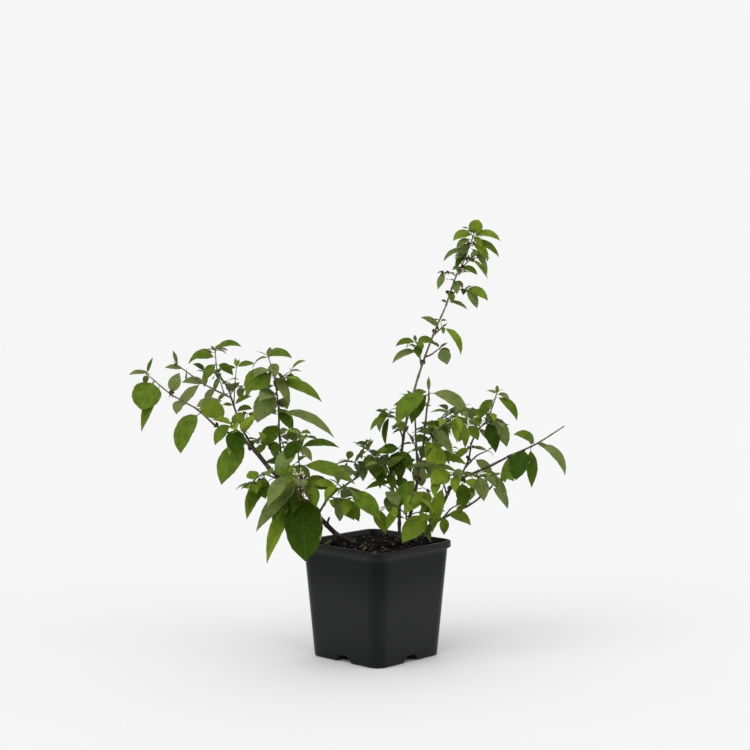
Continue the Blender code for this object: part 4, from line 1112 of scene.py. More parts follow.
def wood_piece(name, lines, finish, sides, relief, grain):
    """A piece of round wood along the lines, with bark of that relief and that many bumps a metre."""
    return run_growth(name, line_mesh(name, lines), wood_growth(finish),
                      {"Sides": sides, "Relief": relief, "Grain": grain})


def line_mesh(name, lines):
    """Lines of points in one mesh, each point with its girth."""
    verts = []
    edges = []
    girths = []
    for path, radii in lines:
        first = len(verts)
        verts += path
        girths += radii
        edges += [(first + i, first + i + 1) for i in range(len(path) - 1)]
    mesh = mesh_of(name, verts, edges, [])
    set_attribute(mesh, "girth", "FLOAT", girths)
    return mesh


def knotted(path, root, tip, rng, wood, flare=False):
    """A fine path along a coarse one, and its radii with a swelling at each node."""
    fine = smooth(path, wood.ring_step)
    whole = sum((b - a).length for a, b in zip(fine, fine[1:]))
    spacing = wood.node_spacing * rng.uniform(0.85, 1.15)
    radii = []
    run = 0.0
    for i, point in enumerate(fine):
        run += (point - fine[i - 1]).length if i else 0.0
        radius = root + (tip - root) * run / whole
        off = (run / spacing + 0.5) % 1 - 0.5
        radius *= 1 + wood.node_swell * math.exp(-(off * spacing / NODE_REACH) ** 2)
        if flare:
            radius *= 1 + wood.foot_swell * max(0.0, 1 - run / FLARE_LENGTH) ** 2
        radii.append(radius)
    return fine, radii


def tone(red, green, blue):
    """A linear colour from the 0 to 255 values that a screen shows."""
    return tuple(((c / 255 + 0.055) / 1.055) ** 2.4 if c > 10 else c / 255 / 12.92
                 for c in (red, green, blue))


def colour_property(name, description, colour):
    return FloatVectorProperty(name=name, description=description, default=colour, subtype="COLOR",
                               size=3, min=0, max=1)


def length_property(name, description, size):
    return FloatProperty(name=name, description=description, default=size, unit="LENGTH", min=0)


def share_property(name, description, share):
    return FloatProperty(name=name, description=description, default=share, subtype="FACTOR")


def angle_property(name, description, degrees):
    return FloatProperty(name=name, description=description, default=math.radians(degrees),
                         subtype="ANGLE")


def number_property(name, description, number):
    return FloatProperty(name=name, description=description, default=number)


def count_property(name, description, count):
    return IntProperty(name=name, description=description, default=count)


class WoodSettings(bpy.types.PropertyGroup):
    """Sizes and colours of stems, boughs and twigs."""
    ring_step: length_property("Ring step", "Distance between rings of a stem", 2.2 * MM)
    node_spacing: length_property("Node spacing", "Distance between the nodes of a stem", 24 * MM)
    node_swell: share_property("Node swelling", "How much thicker a stem is at a node", 0.3)
    foot_swell: share_property("Foot swelling", "How much thicker a stem is at the soil", 0.3)
    relief: length_property("Bark relief", "Depth of the bark's relief", 0.5 * MM)
    limb_sides: count_property("Limb sides", "Sides of a stem or bough", 14)
    twig_sides: count_property("Twig sides", "Sides of a twig", 8)
    twig_root: length_property("Twig root", "Radius of a main twig at its root", 1.15 * MM)
    twig_tip: length_property("Twig tip", "Radius of a main twig at its tip", 0.6 * MM)
    spur_length: length_property("Spur length", "Longest fine twig", 11 * MM)
    spur_share: share_property("Spurs", "Share of nodes that carry a fine twig", 0.3)
    brown: colour_property("Old bark", "Colour of the old bark", tone(70, 60, 48))
    grey: colour_property("Young bark", "Colour of the young bark", tone(150, 144, 116))
    dark: colour_property("Bark furrows", "Colour in the bark's furrows", tone(36, 32, 25))


class LeafSettings(bpy.types.PropertyGroup):
    """Sizes and colours of the leaves."""
    rows: count_property("Rows", "Rows of faces along a blade", 7)
    stalk: share_property("Stalk", "Share of the leaf that is its stalk", 0.1)
    stalk_half: share_property("Stalk width", "Half of the stalk as a share of half the blade", 0.055)
    fold: share_property("Fold", "How far the margins rise over the rib", 0.035)
    puff: share_property("Puffing", "How far the blade puffs up between its veins", 0.009)
    veins: number_property("Veins", "Pairs of side veins", 6.5)
    teeth: share_property("Teeth", "Depth of the teeth along the margin", 0.04)
    thickness: share_property("Thickness", "Blade thickness as a share of its length", 0.011)
    young: length_property("Young leaf", "Length of a leaf on a fine twig", 13 * MM)
    # Besides the leaves' own tones, deep and dark stand for painted shade, bright and yellow for painted
    # light, and the olive is greyer and bluer as a painted sheen
    deep: colour_property("Deep green", "Leaves inside the shrub", tone(48, 73, 7))
    dark: colour_property("Dark green", "Older leaves", tone(66, 90, 16))
    middle: colour_property("Middle green", "Most leaves", tone(90, 114, 28))
    olive: colour_property("Olive green", "Dull leaves", tone(103, 120, 58))
    bright: colour_property("Bright green", "Leaves in the light", tone(108, 133, 32))
    yellow: colour_property("Yellow green", "Young leaves", tone(119, 141, 38))
    under: colour_property("Underside", "Pale underside of a leaf", tone(104, 121, 60))


class FruitSettings(bpy.types.PropertyGroup):
    """Sizes and colours of the dry and unripe fruit."""
    radius: length_property("Fruit radius", "Radius of one fruit", 1.3 * MM)
    count: count_property("Fruit", "Fruit in a cluster of middle size", 20)
    dry: colour_property("Dry fruit", "Colour of dry fruit and buds", tone(64, 54, 20))
    stalk: colour_property("Fruit stalk", "Colour of the fruit's stalks", tone(120, 98, 62))
    pale: colour_property("Unripe fruit", "Colour of unripe fruit", tone(164, 176, 104))


class PotSettings(bpy.types.PropertyGroup):
    """Sizes and colour of the pot."""
    height: length_property("Height", "Height of the pot", 131 * MM)
    rim_side: length_property("Rim side", "Side of the square rim", 130 * MM)
    base_side: length_property("Base side", "Side of the square base", 107 * MM)
    rim_corner: length_property("Rim corner", "Corner radius of the rim", 16 * MM)
    base_corner: length_property("Base corner", "Corner radius of the base", 14 * MM)
    wall: length_property("Wall", "Thickness of the wall", 2 * MM)
    floor: length_property("Floor", "Thickness of the raised floor", 9 * MM)
    lip_depth: length_property("Lip depth", "Depth of the rolled lip", 8 * MM)
    lip_reach: length_property("Lip reach", "How far the lip stands out", 3.2 * MM)
    edge: length_property("Edge", "Rounding of the lip and the foot", 1.5 * MM)
    notch_width: length_property("Notch width", "Width of the notch in each side's foot", 20 * MM)
    notch_height: length_property("Notch height", "Height of the notch in each side's foot", 7.5 * MM)
    turn: angle_property("Turn", "Turn of the pot about its middle", 46.8)
    plastic: colour_property("Plastic", "Colour of the plastic", tone(3, 5, 6))
    dust: colour_property("Dust", "Colour of dust on the plastic", tone(36, 36, 35))


class CompostSettings(bpy.types.PropertyGroup):
    """Sizes and colours of the compost."""
    level: length_property("Level", "Height of the compost", SOIL_LEVEL)
    lumps: length_property("Lumps", "Height of the lumps", 3.2 * MM)
    chip: length_property("Chip", "Length of a bark chip", 8.5 * MM)
    density: number_property("Chips", "Chips in each square metre", 24000)
    seed: count_property("Seed", "Seed of the scatter", 7)
    # The compost's colour is darker than its own, as painted shade of the plant above it
    soil: colour_property("Compost", "Colour of the compost", tone(8, 7, 6))
    bark: colour_property("Chips", "Colour of the bark chips", tone(140, 118, 90))
    dark: colour_property("Dark chips", "Colour of the wet chips", tone(18, 14, 11))
    grit: colour_property("Grit", "Colour of the pale specks", tone(176, 170, 152))


class StageSettings(bpy.types.PropertyGroup):
    """The floor, the lights and the camera."""
    floor: colour_property("Floor", "Colour of the floor", tone(244, 244, 244))
    key: number_property("Key light", "Strength of the main light", 0.95)
    fill: number_property("Fill light", "Strength of the second light", 0.45)
    back: number_property("Back light", "Strength of the light from behind", 0.4)
    sky: number_property("Sky", "Strength of the even light", 0.75)
    backdrop: number_property("Backdrop", "Brightness of the backdrop", 0.925)
    aside: FloatProperty(name="Camera aside", description="How far to the right the camera stands",
                         default=-1.1 * MM, unit="LENGTH")
    distance: length_property("Camera distance", "Distance of the camera", 2.0)
    eye: length_property("Camera height", "Height of the camera", 0.465)
    dip: angle_property("Camera dip", "How far the camera looks down", 4.17)
    lens: number_property("Lens", "Focal length in millimetres", 85.35)


SETTINGS = {"berry_wood": WoodSettings, "berry_leaf": LeafSettings, "berry_fruit": FruitSettings,
            "berry_pot": PotSettings, "berry_compost": CompostSettings, "berry_stage": StageSettings}


def bark_finish(name, colour, dark, moss, low=1.0):
    """Bark with fine furrows, pale pores and a duller colour in patches, by that factor darker low down as
    painted shade.
    """
    f = Finish(name, colour, 0.8)
    long_grain = f.noise(900, 4.0, f.stretched(1, 1, 0.25))
    patches = f.noise(120, 2.0)
    pores = f.cells(620).smooth_step(0.12, 0.2)
    base = f.mix(long_grain.smooth_step(0.42, 0.62), dark, colour)
    base = f.mix(patches.smooth_step(0.5, 0.7) * 0.5, base, moss)
    base = f.mix(pores, scaled(colour, 1.9, 1.9, 1.9), base)
    # Painted shade: the bark is darkened low down on the stems and fades out up the stem between the given
    # heights
    painted_shade_low = f.mix(1.0, base, (low, low, low), "MULTIPLY")
    young = f.part_of(f.place, "Z").smooth_step(*PAINTED_SHADE_HEIGHTS)
    f.feed("Base Color", f.mix(young, painted_shade_low, base))
    f.feed("Roughness", 0.72 + 0.2 * long_grain)
    f.bump(long_grain + 0.6 * pores, 0.35 * MM, 0.8)
    return f.material


class OBJECT_OT_berry_limbs(bpy.types.Operator):
    """Covers the stems and boughs with bark"""
    bl_idname = "object.berry_limbs"
    bl_label = "Stems and boughs"

    def execute(self, context):
        wood = context.scene.berry_wood
        plant = grow_plant()
        furrow = scaled(wood.grey, 0.45, 0.43, 0.4)
        # The young stems get painted shade low down, darker by the last number
        finishes = {"old_stems": bark_finish("old_bark", wood.brown, wood.dark, wood.grey),
                    "young_stems": bark_finish("young_bark", wood.grey, furrow, wood.brown, 0.3)}
        rng = random.Random(BARK_SEED)
        lines = {group: [] for group in finishes}
        nodes = {group: [] for group in finishes}
        for name, limb in LIMBS.items():
            group = "young_stems" if name.startswith(YOUNG) else "old_stems"
            path = plant.limbs[name]
            if limb.parent:
                foot = on_path(plant.limbs[limb.parent], limb.place)[0]
            else:
                foot = path[0] - UP * FOOT_SINK
            thin = THINNER.get(name, 1.0) * MM
            lines[group].append(knotted([foot] + path, limb.root * thin, limb.tip * thin, rng, wood,
                                        limb.parent is None))
            nodes[group].append(name)
        foot = on_path(plant.limbs["left_stem"], STUB_PLACE)[0]
        stub = [foot] + [foot + Vector(point) * MM for point in STUB_POINTS]
        lines["old_stems"].append((stub, STUB_RADII))
        for group, finish in finishes.items():
            piece = wood_piece(group, lines[group], finish, wood.limb_sides, wood.relief, 420.0)
            dress(piece, "bark", nodes[group])
        return {"FINISHED"}


class OBJECT_OT_berry_twigs(bpy.types.Operator):
    """Grows the twigs of every mass of leaves"""
    bl_idname = "object.berry_twigs"
    bl_label = "Twigs"

    def execute(self, context):
        wood = context.scene.berry_wood
        plant = grow_plant()
        rng = random.Random(TWIG_SEED)
        lines = []
        for name, mass in MASSES.items():
            joint = on_path(plant.limbs[mass.parent], mass.place)[0]
            for i, (path, _, _) in enumerate(plant.shoots[name]):
                thin = 1.0 if i == 0 else SIDE_TWIG
                path = path[:2] if name in CLOSED_TIPS else path
                start = [joint] if i == 0 else []
                lines.append(knotted(start + path, thin * wood.twig_root, thin * wood.twig_tip, rng, wood))
            lines += [(spur, SPUR_RADII) for spur in plant.spurs[name]]
        # The twigs get painted shade low down, darker by the last number
        finish = bark_finish("twig_bark", wood.grey, wood.brown, wood.dark, 0.5)
        piece = wood_piece("twigs", lines, finish, wood.twig_sides, 0.4 * wood.relief, 700.0)
        dress(piece, "bark", MASSES)
        return {"FINISHED"}


# A blade's half width at places from its foot to its tip, for a pointed leaf and for an oval one, and the
# columns of its points from one margin to the other
OUTLINE = ((0.0, 0.055), (0.05, 0.2), (0.12, 0.48), (0.22, 0.79), (0.33, 0.97), (0.44, 1.0), (0.55, 0.93),
           (0.66, 0.76), (0.76, 0.52), (0.85, 0.29), (0.92, 0.13), (0.97, 0.05), (1.0, 0.0))
OVAL = ((0.0, 0.055), (0.03, 0.3), (0.08, 0.57), (0.16, 0.81), (0.28, 0.97), (0.42, 1.0), (0.56, 0.97),
        (0.7, 0.85), (0.8, 0.67), (0.88, 0.45), (0.94, 0.22), (0.98, 0.07), (1.0, 0.0))
COLUMNS = (-1, -0.5, 0, 0.5, 1)

# Rows of a stalk, how far a tooth lies from its row to the next, how fast the stalk passes into the blade,
# how high and deep the stalk is as shares of the leaf, and how the waves between the veins slant and how
# far those of the two halves are shifted
STALK_ROWS = 2
TOOTH_ROW = 0.6
STALK_TAPER = 8
STALK_OVER = 0.006
STALK_UNDER = 0.008
VEIN_SLANT = 2.2
HALF_SHIFT = 1.6


def outline_at(place, outline):
    """Half the blade's width at a place from its foot to its tip, as a share of the widest."""
    for (a, low), (b, high) in zip(outline, outline[1:]):
        if place <= b:
            return low + (high - low) * (place - a) / (b - a)
    return 0.0


def leaf_point(size, row, column, tooth, outline):
    """How far along, across and above the blade a point of the leaf lies, or one under its rib."""
    place = max(0.0, row - STALK_ROWS) / size.rows
    blade = min(1.0, place * STALK_TAPER)
    half = outline_at(place, outline) if blade else size.stalk_half
    if row < STALK_ROWS:
        along = size.stalk * row / STALK_ROWS
    else:
        along = size.stalk + (1 - size.stalk) * place
    if column is None:
        return along, 0.0, -(size.thickness * (0.5 + 0.5 * half) + (1 - blade) * STALK_UNDER)
    far = abs(column)
    across = column * half * (1 + size.teeth if tooth else 1)
    shift = 0 if column > 0 else HALF_SHIFT
    waves = math.sin(math.pi * size.veins * place + VEIN_SLANT * far + shift)
    puff = 0.8 * waves if far == 1 else 1 + 0.5 * waves
    lift = blade * half * (size.fold * far + size.puff * puff)
    if column == 0:
        lift = (1 - blade) * STALK_OVER - 0.25 * size.puff * blade
    return along, across, lift


def leaf_pattern(size):
    """One leaf as a thin closed mesh, with toothed margins, whose points say where in the leaf they lie."""
    wide = len(COLUMNS)
    count = wide + 3
    rows = size.rows + STALK_ROWS
    points = []
    wider = []
    for found, outline in ((points, OUTLINE), (wider, OVAL)):
        for row in range(rows):
            found += [leaf_point(size, row, column, False, outline) for column in (*COLUMNS, None)]
            found += [leaf_point(size, row + TOOTH_ROW, column, True, outline) for column in (-1, 1)]
        found.append((1.0, 0.0, 0.0))
    faces = [tuple(reversed(range(wide + 1)))]
    under = [True]
    for row in range(rows):
        last = row == rows - 1
        for k in range(wide + 1):
            a = row * count + k
            b = row * count + (k + 1) % (wide + 1)
            left_tooth = row * count + wide + 1
            right_tooth = left_tooth + 1
            ahead = [rows * count] if last else [b + count, a + count]
            face = [a, b] + ahead
            if k in (0, wide):
                face = [a, b] + ahead + [left_tooth] if k == 0 else [a, b, left_tooth] + ahead
            if k in (wide - 2, wide - 1):
                face = [a, b, right_tooth] + ahead if k == wide - 2 else [a, b] + ahead + [right_tooth]
            faces.append(tuple(face))
            under.append(k >= wide - 1)
    mesh = mesh_of("leaf_pattern", points, [], faces)
    for number, word in enumerate(("place", "across", "lift")):
        set_attribute(mesh, word, "FLOAT", [point[number] for point in points])
    set_attribute(mesh, "wider", "FLOAT", [point[1] for point in wider])
    set_attribute(mesh, "under", "FLOAT", [float(below) for below in under], "FACE")
    sides = {}
    for face, below in zip(mesh.polygons, under):
        for key in face.edge_keys:
            sides.setdefault(key, set()).add(below)
    for edge in mesh.edges:
        edge.use_edge_sharp = len(sides[edge.key]) == 2
    return mesh


def leaf_growth(tones, under):
    """A leaf of the pattern at each point, arched and rolled as the point says."""
    g = Growth("leaf_blades", [("Pattern", "Object")])
    shape = g.node("GeometryNodeObjectInfo", {"Object": g.given("Pattern")}).out("Geometry")
    blades = g.realized(g.on_points(g.geometry, shape))
    root, along, hang, side = [g.attribute(name, "FLOAT_VECTOR")
                               for name in ("root", "along", "hang", "side")]
    reach, width, bend, roll = [g.attribute(name) for name in ("reach", "width", "bend", "roll")]
    angle = bend * g.attribute("place")
    sine = angle.maths("SINE")
    cosine = angle.maths("COSINE")
    middle = root + (sine * along + (1 - cosine) * hang) * (reach / bend)
    face = sine * along - cosine * hang
    turn_cosine = roll.maths("COSINE")
    turn_sine = roll.maths("SINE")
    rolled_side = turn_cosine * side - turn_sine * face
    rolled_face = turn_cosine * face + turn_sine * side
    oval = g.attribute("oval")
    across = (1 - oval) * g.attribute("across") + oval * g.attribute("wider")
    out = rolled_side * (across * width * 0.5)
    place = middle + out + rolled_face * (g.attribute("lift") * reach)
    blades = g.smoothed(g.moved(blades, Position=place))
    tone_number = g.attribute("tone")
    for i, material in enumerate(tones):
        blades = g.coloured(blades, material, tone_number.maths("COMPARE", float(i), 0.5))
    g.close(g.coloured(blades, under, g.attribute("under").maths("COMPARE", 1.0, 0.5)))
    return g


def leaf_points(name, leaves, tones):
    """A point for each leaf, with what the leaf tree reads."""
    mesh = mesh_of(name, [leaf.root for leaf in leaves], [], [])
    hangs = [hang_of(leaf) for leaf in leaves]
    vectors = {"root": [leaf.root for leaf in leaves], "along": [leaf.along for leaf in leaves],
               "hang": hangs, "side": [hang.cross(leaf.along) for hang, leaf in zip(hangs, leaves)]}
    numbers = {"reach": [leaf.length for leaf in leaves], "width": [leaf.width for leaf in leaves],
               "bend": [max(leaf.bend, STRAIGHTEST) for leaf in leaves],
               "roll": [leaf.roll for leaf in leaves], "oval": [leaf.oval for leaf in leaves],
               "tone": tones}
    for word, values in vectors.items():
        set_attribute(mesh, word, "FLOAT_VECTOR", values)
    for word, values in numbers.items():
        set_attribute(mesh, word, "FLOAT", values)
    return mesh


def scaled(colour, red, green, blue):
    return tuple(min(1.0, c * by) for c, by in zip(colour, (red, green, blue)))


def leaf_finish(name, colour, roughness, gloss=DULL):
    """A leaf surface: mottled, paler along its rib and side veins, puckered between them, softly glossy."""
    size = bpy.context.scene.berry_leaf
    f = Finish(name, colour, roughness, gloss)
    mottle = f.noise(110, 3.0)
    blotch = f.noise(45, 2.0)
    far = f.attribute("across").maths("ABSOLUTE")
    wave = ((f.attribute("place") - 0.3 * far) * (math.tau * size.veins)).maths("SINE")
    vein = wave.smooth_step(0.8, 1.0)
    rib = 1 - far.smooth_step(0.015, 0.05)
    deep = scaled(colour, 0.74, 0.78, 0.7)
    base = f.mix(mottle.smooth_step(0.35, 0.65), deep, scaled(colour, 1.18, 1.15, 1.2))
    base = f.mix(blotch.smooth_step(0.45, 0.7) * 0.6, base, scaled(colour, 1.36, 1.16, 1.1))
    base = f.mix(rib.maths("MAXIMUM", 0.55 * vein) * 0.7, base, scaled(colour, 1.6, 1.45, 2.2))
    f.feed("Base Color", base)
    f.feed("Roughness", roughness - 0.08 + 0.16 * mottle)
    f.bump(0.35 * f.noise(1300, 2.0) - 0.5 * wave - rib, 0.5 * MM, 0.6)
    return f.material


def leaf_tone(leaf, shaded, low, high, rng):
    """Which green a leaf gets: darker low down and inside as painted shade, brighter high up, outside and in
    front as painted light.
    """
    if leaf.tone:
        return float(TONES.index(leaf.tone))
    share = (leaf.root.z - low) / (high - low)
    away = math.hypot(leaf.root.x - HEART[0], leaf.root.y - HEART[1])
    inside = max(0.0, 1 - away / HEART_REACH)
    front = max(-1.0, min(1.0, -leaf.root.y / FRONT_REACH))
    # Painted light and shade: height, the heart of the shrub, the front and the mass's shade move the green
    score = 2.5 + 0.9 * share - 1.3 * inside + 0.9 * front - shaded + rng.gauss(0, 1.05)
    return float(min(len(TONES) - 1, max(0, round(score))))


class OBJECT_OT_berry_leaves(bpy.types.Operator):
    """Grows the leaves, each in one of several greens"""
    bl_idname = "object.berry_leaves"
    bl_label = "Leaves"

    def execute(self, context):
        size = context.scene.berry_leaf
        plant = grow_plant()
        greens = [leaf_finish(f"leaf_{word}", getattr(size, word), 0.42, GLOSS.get(word, DULL))
                  for word in TONES]
        under = leaf_finish("leaf_under", size.under, 0.6)
        pattern = new_object("leaf_pattern", leaf_pattern(size))
        growth = leaf_growth(greens, under)
        rng = random.Random(TONE_SEED)
        low, high = (corner[2] for corner in CAD_BOX)
        kinds = ("mid", "bright", "dark")
        for i, kind in enumerate(kinds):
            nodes = list(MASSES)[i::len(kinds)]
            leaves = []
            tones = []
            for name in nodes:
                for leaf in plant.leaves[name]:
                    leaves.append(leaf)
                    tones.append(leaf_tone(leaf, SHADED.get(name, 0.0), low, high, rng))
            points = leaf_points(f"leaf_{kind}", leaves, tones)
            piece = run_growth(f"leaves_{kind}", points, growth, {"Pattern": pattern})
            dress(piece, f"leaf_{kind}", nodes)
        bpy.data.objects.remove(pattern)
        return {"FINISHED"}


def fruit_growth(material):
    """A small wrinkled ball at each point, as large as the point says."""
    g = Growth("fruit", [("Wrinkle", "Float")])
    ball = g.node("GeometryNodeMeshUVSphere", {"Radius": 1.0, "Segments": 8, "Rings": 5})
    fruit = g.realized(g.on_points(g.geometry, ball, Scale=g.attribute("girth")))
    fruit = g.roughened(fruit, 900.0, 2.0, g.given("Wrinkle"))
    g.close(g.coloured(g.smoothed(fruit), material))
    return g


def cyme(stalks, root, way, reach, beads, radius, rng):
    """Adds a forked stalk to the stalks, and returns the place and radius of each fruit at its ends."""
    head = root + 0.5 * reach * way
    stalks.append(([root, root.lerp(head, 0.5), head], STALK_RADII))
    fruit = []
    for _ in range(beads):
        aim = Vector((rng.gauss(0, 1), rng.gauss(0, 1), rng.gauss(0, 1))).normalized()
        end = head + (way + 1.1 * aim).normalized() * reach * rng.uniform(0.3, 0.7)
        stalks.append(([head, head.lerp(end, 0.5), end], STALKLET_RADII))
        fruit.append((end, radius * rng.uniform(0.55, 1.0)))
    return fruit


class OBJECT_OT_berry_fruit(bpy.types.Operator):
    """Sets the clusters of dry fruit and buds, and the one pale cluster"""
    bl_idname = "object.berry_fruit"
    bl_label = "Fruit"

    def execute(self, context):
        size = context.scene.berry_fruit
        plant = grow_plant()
        rng = random.Random(FRUIT_SEED)
        points = {"dry_fruit": [], "pale_fruit": []}
        stalks = []
        for name, place, radius in KNOTS:
            path = plant.limbs[name] if name in plant.limbs else plant.shoots[name][0][0]
            centre, ahead = on_path(path, place)
            across = ahead.orthogonal().normalized()
            across = Matrix.Rotation(rng.uniform(0, math.tau), 3, ahead) @ across
            for way in (across, -across):
                way = (way + 0.4 * ahead + 0.3 * UP).normalized()
                beads = round(size.count * radius / USUAL_KNOT)
                reach = KNOT_REACH * radius * MM
                points["dry_fruit"] += cyme(stalks, centre, way, reach, beads, size.radius, rng)
        for spray in SPRAYS:
            if spray.fruit:
                spot = spray_root(spray, plant.limbs, plant.shoots) + Vector(spray.end or (0, 0, 0)) * MM
                for way in SPRAY_WAYS:
                    points["dry_fruit"] += cyme(stalks, spot, Vector(way).normalized(), SPRAY_REACH,
                                                SPRAY_BEADS, size.radius, rng)
        foot = on_path(plant.shoots["left_front"][0][0], PALE_ROOT)[0]
        middle, head = (foot + Vector(point) * MM for point in (PALE_BEND, PALE_END))
        peduncle = smooth([foot, middle, head], 3 * MM)
        stalks.append((peduncle, [LONG_STALK] * len(peduncle)))
        for share, kind, beads, reach in PALE_FRUIT:
            spot = middle.lerp(head, share)
            for way in (1, -1):
                out = Vector((way, rng.uniform(-0.6, 0.2), rng.uniform(0.2, 0.8))).normalized()
                points[kind] += cyme(stalks, spot, out, reach * MM, beads // 2, 0.85 * size.radius, rng)
        for kind, colour, slot in (("dry_fruit", size.dry, "bark"), ("pale_fruit", size.pale, "leaf_bright")):
            mesh = mesh_of(kind, [spot for spot, _ in points[kind]], [], [])
            set_attribute(mesh, "girth", "FLOAT", [girth for _, girth in points[kind]])
            growth = fruit_growth(leaf_finish(kind, colour, 0.55))
            dress(run_growth(kind, mesh, growth, {"Wrinkle": 0.5 * size.radius}), slot)
        finish = bark_finish("stalk_bark", size.stalk, size.dry, size.stalk)
        dress(wood_piece("fruit_stalks", stalks, finish, 5, 0.0, 700.0), "bark")
        return {"FINISHED"}


# The pot: points in a ring, steps of a round corner and of a notch's arch, rings up the wall and down the
# inside, the angles of the rounded foot and of the lip, and those above which edges are softened and sharp
RING_POINTS = 128
ARC_STEPS = 8
OUTER_RINGS = 12
INNER_RINGS = 8
FOOT_ANGLES = (22, 45, 68, 90)
LIP_ANGLES = range(-60, 101, 20)
SOFT_ANGLE = math.radians(50)
SHARP_ANGLE = math.radians(40)

# A notch in the foot, in mm: its flare by distance beyond its half width and height, how far in and out its
# cutter reaches from the wall, and the shares of its width and height that are round
NOTCH_FLARE = ((3, -5), (3, 0.2), (1.2, 0.9))
NOTCH_SPAN = (-16, 6)
NOTCH_ROUND = (0.62, 0.65)


def square_ring(side, corner, height, turn):
    """Points evenly round a square with round corners."""
    inset = side / 2 - corner
    outline = []
    for quarter in range(4):
        middle = math.pi / 4 + quarter * math.pi / 2
        away = (math.copysign(inset, math.cos(middle)), math.copysign(inset, math.sin(middle)), 0)
        for step in range(ARC_STEPS + 1):
            angle = (quarter + step / ARC_STEPS) * math.pi / 2
            outline.append(Vector(away) + corner * Vector((math.cos(angle), math.sin(angle), 0)))
    outline.append(outline[0])
    spin = Matrix.Rotation(turn, 3, "Z")
    return [spin @ (on_path(outline, k / RING_POINTS)[0] + UP * height) for k in range(RING_POINTS)]


def wall_ring(pot, height, inwards=0.0):
    """The pot wall's outline at a height, or that far inside it."""
    share = height / (pot.height - pot.lip_depth)
    side = pot.base_side + (pot.rim_side - 2 * pot.lip_reach - pot.base_side) * share
    corner = pot.base_corner + (pot.rim_corner - pot.lip_reach / 2 - pot.base_corner) * share
    return square_ring(side - 2 * inwards, max(corner - inwards, 2 * MM), height, pot.turn)


def plastic_finish(pot):
    """Black moulded plastic with a faint grain, dust towards the foot, and less gloss under the lip as
    painted shade.
    """
    f = Finish("pot_plastic", pot.plastic, 0.3, 0.24)
    grain = f.noise(1400, 3.0)
    smears = f.noise(38, 4.0, f.stretched(1, 1, 0.45))
    height = f.part_of(f.place, "Z")
    low = 1 - height.smooth_step(0.0, 26 * MM)
    dust = smears.smooth_step(0.52, 0.8) * (0.12 + 0.3 * low)
    f.feed("Base Color", f.mix(dust, pot.plastic, pot.dust))
    f.feed("Roughness", 0.24 + 0.12 * smears + 0.05 * grain)
    # Painted shade: less gloss high on the wall under the lip, where the lip and the leaves shade it
    painted_shade_under_lip = height.smooth_step(60 * MM, 112 * MM) - height.smooth_step(118 * MM, 122 * MM)
    f.feed("Specular IOR Level", 0.25 - 0.1 * painted_shade_under_lip)
    f.bump(grain, 0.08 * MM, 0.35)
    return f.material


class OBJECT_OT_berry_pot(bpy.types.Operator):
    """Moulds the square pot with its rolled lip and notched foot"""
    bl_idname = "object.berry_pot"
    bl_label = "Pot"

    def execute(self, context):
        pot = context.scene.berry_pot
        verts, faces = loft(self.rings(pot))
        body = new_object("nursery_pot", mesh_of("nursery_pot", verts, [], faces))
        for quarter in range(4):
            cut = body.modifiers.new("Notch", "BOOLEAN")
            cut.operation = "DIFFERENCE"
            cut.object = notch_cutter(pot, quarter)
        soften = body.modifiers.new("Soft edges", "BEVEL")
        soften.width = 0.5 * MM
        soften.segments = 2
        soften.limit_method = "ANGLE"
        soften.angle_limit = SOFT_ANGLE
        mesh = bpy.data.meshes.new_from_object(body.evaluated_get(bpy.context.evaluated_depsgraph_get()))
        for cut in list(body.modifiers):
            if cut.type == "BOOLEAN":
                bpy.data.objects.remove(cut.object)
        body.modifiers.clear()
        body.data = mesh
        mesh.shade_smooth()
        mesh.set_sharp_from_angle(angle=SHARP_ANGLE)
        mesh.materials.clear()
        mesh.materials.append(plastic_finish(pot))
        dress(body, "pot_plastic", ["pot"])
        return {"FINISHED"}

    def rings(self, pot):
        """The pot's outline from the middle of its underside up the wall, round the lip and down inside."""
        edge = pot.edge
        under = pot.height - pot.lip_depth
        brim = pot.height - 1.2 * edge
        rings = [wall_ring(pot, 0.0, edge)]
        for angle in map(math.radians, FOOT_ANGLES):
            rings.append(wall_ring(pot, edge * (1 - math.cos(angle)), edge * (1 - math.sin(angle))))
        rings += [wall_ring(pot, edge + (under - 1.2 * edge) * k / OUTER_RINGS)
                  for k in range(1, OUTER_RINGS + 1)]
        for degrees in LIP_ANGLES:
            angle = math.radians(degrees)
            middle = pot.height - edge if degrees > 0 else under + edge
            side = pot.rim_side - 2 * edge * (1 - math.cos(angle))
            rings.append(square_ring(side, pot.rim_corner, middle + edge * math.sin(angle), pot.turn))
        rings.append(wall_ring(pot, pot.height - 0.2 * edge, pot.wall * 0.5))
        rings += [wall_ring(pot, brim - (brim - pot.floor) * k / INNER_RINGS, pot.wall)
                  for k in range(INNER_RINGS + 1)]
        return rings


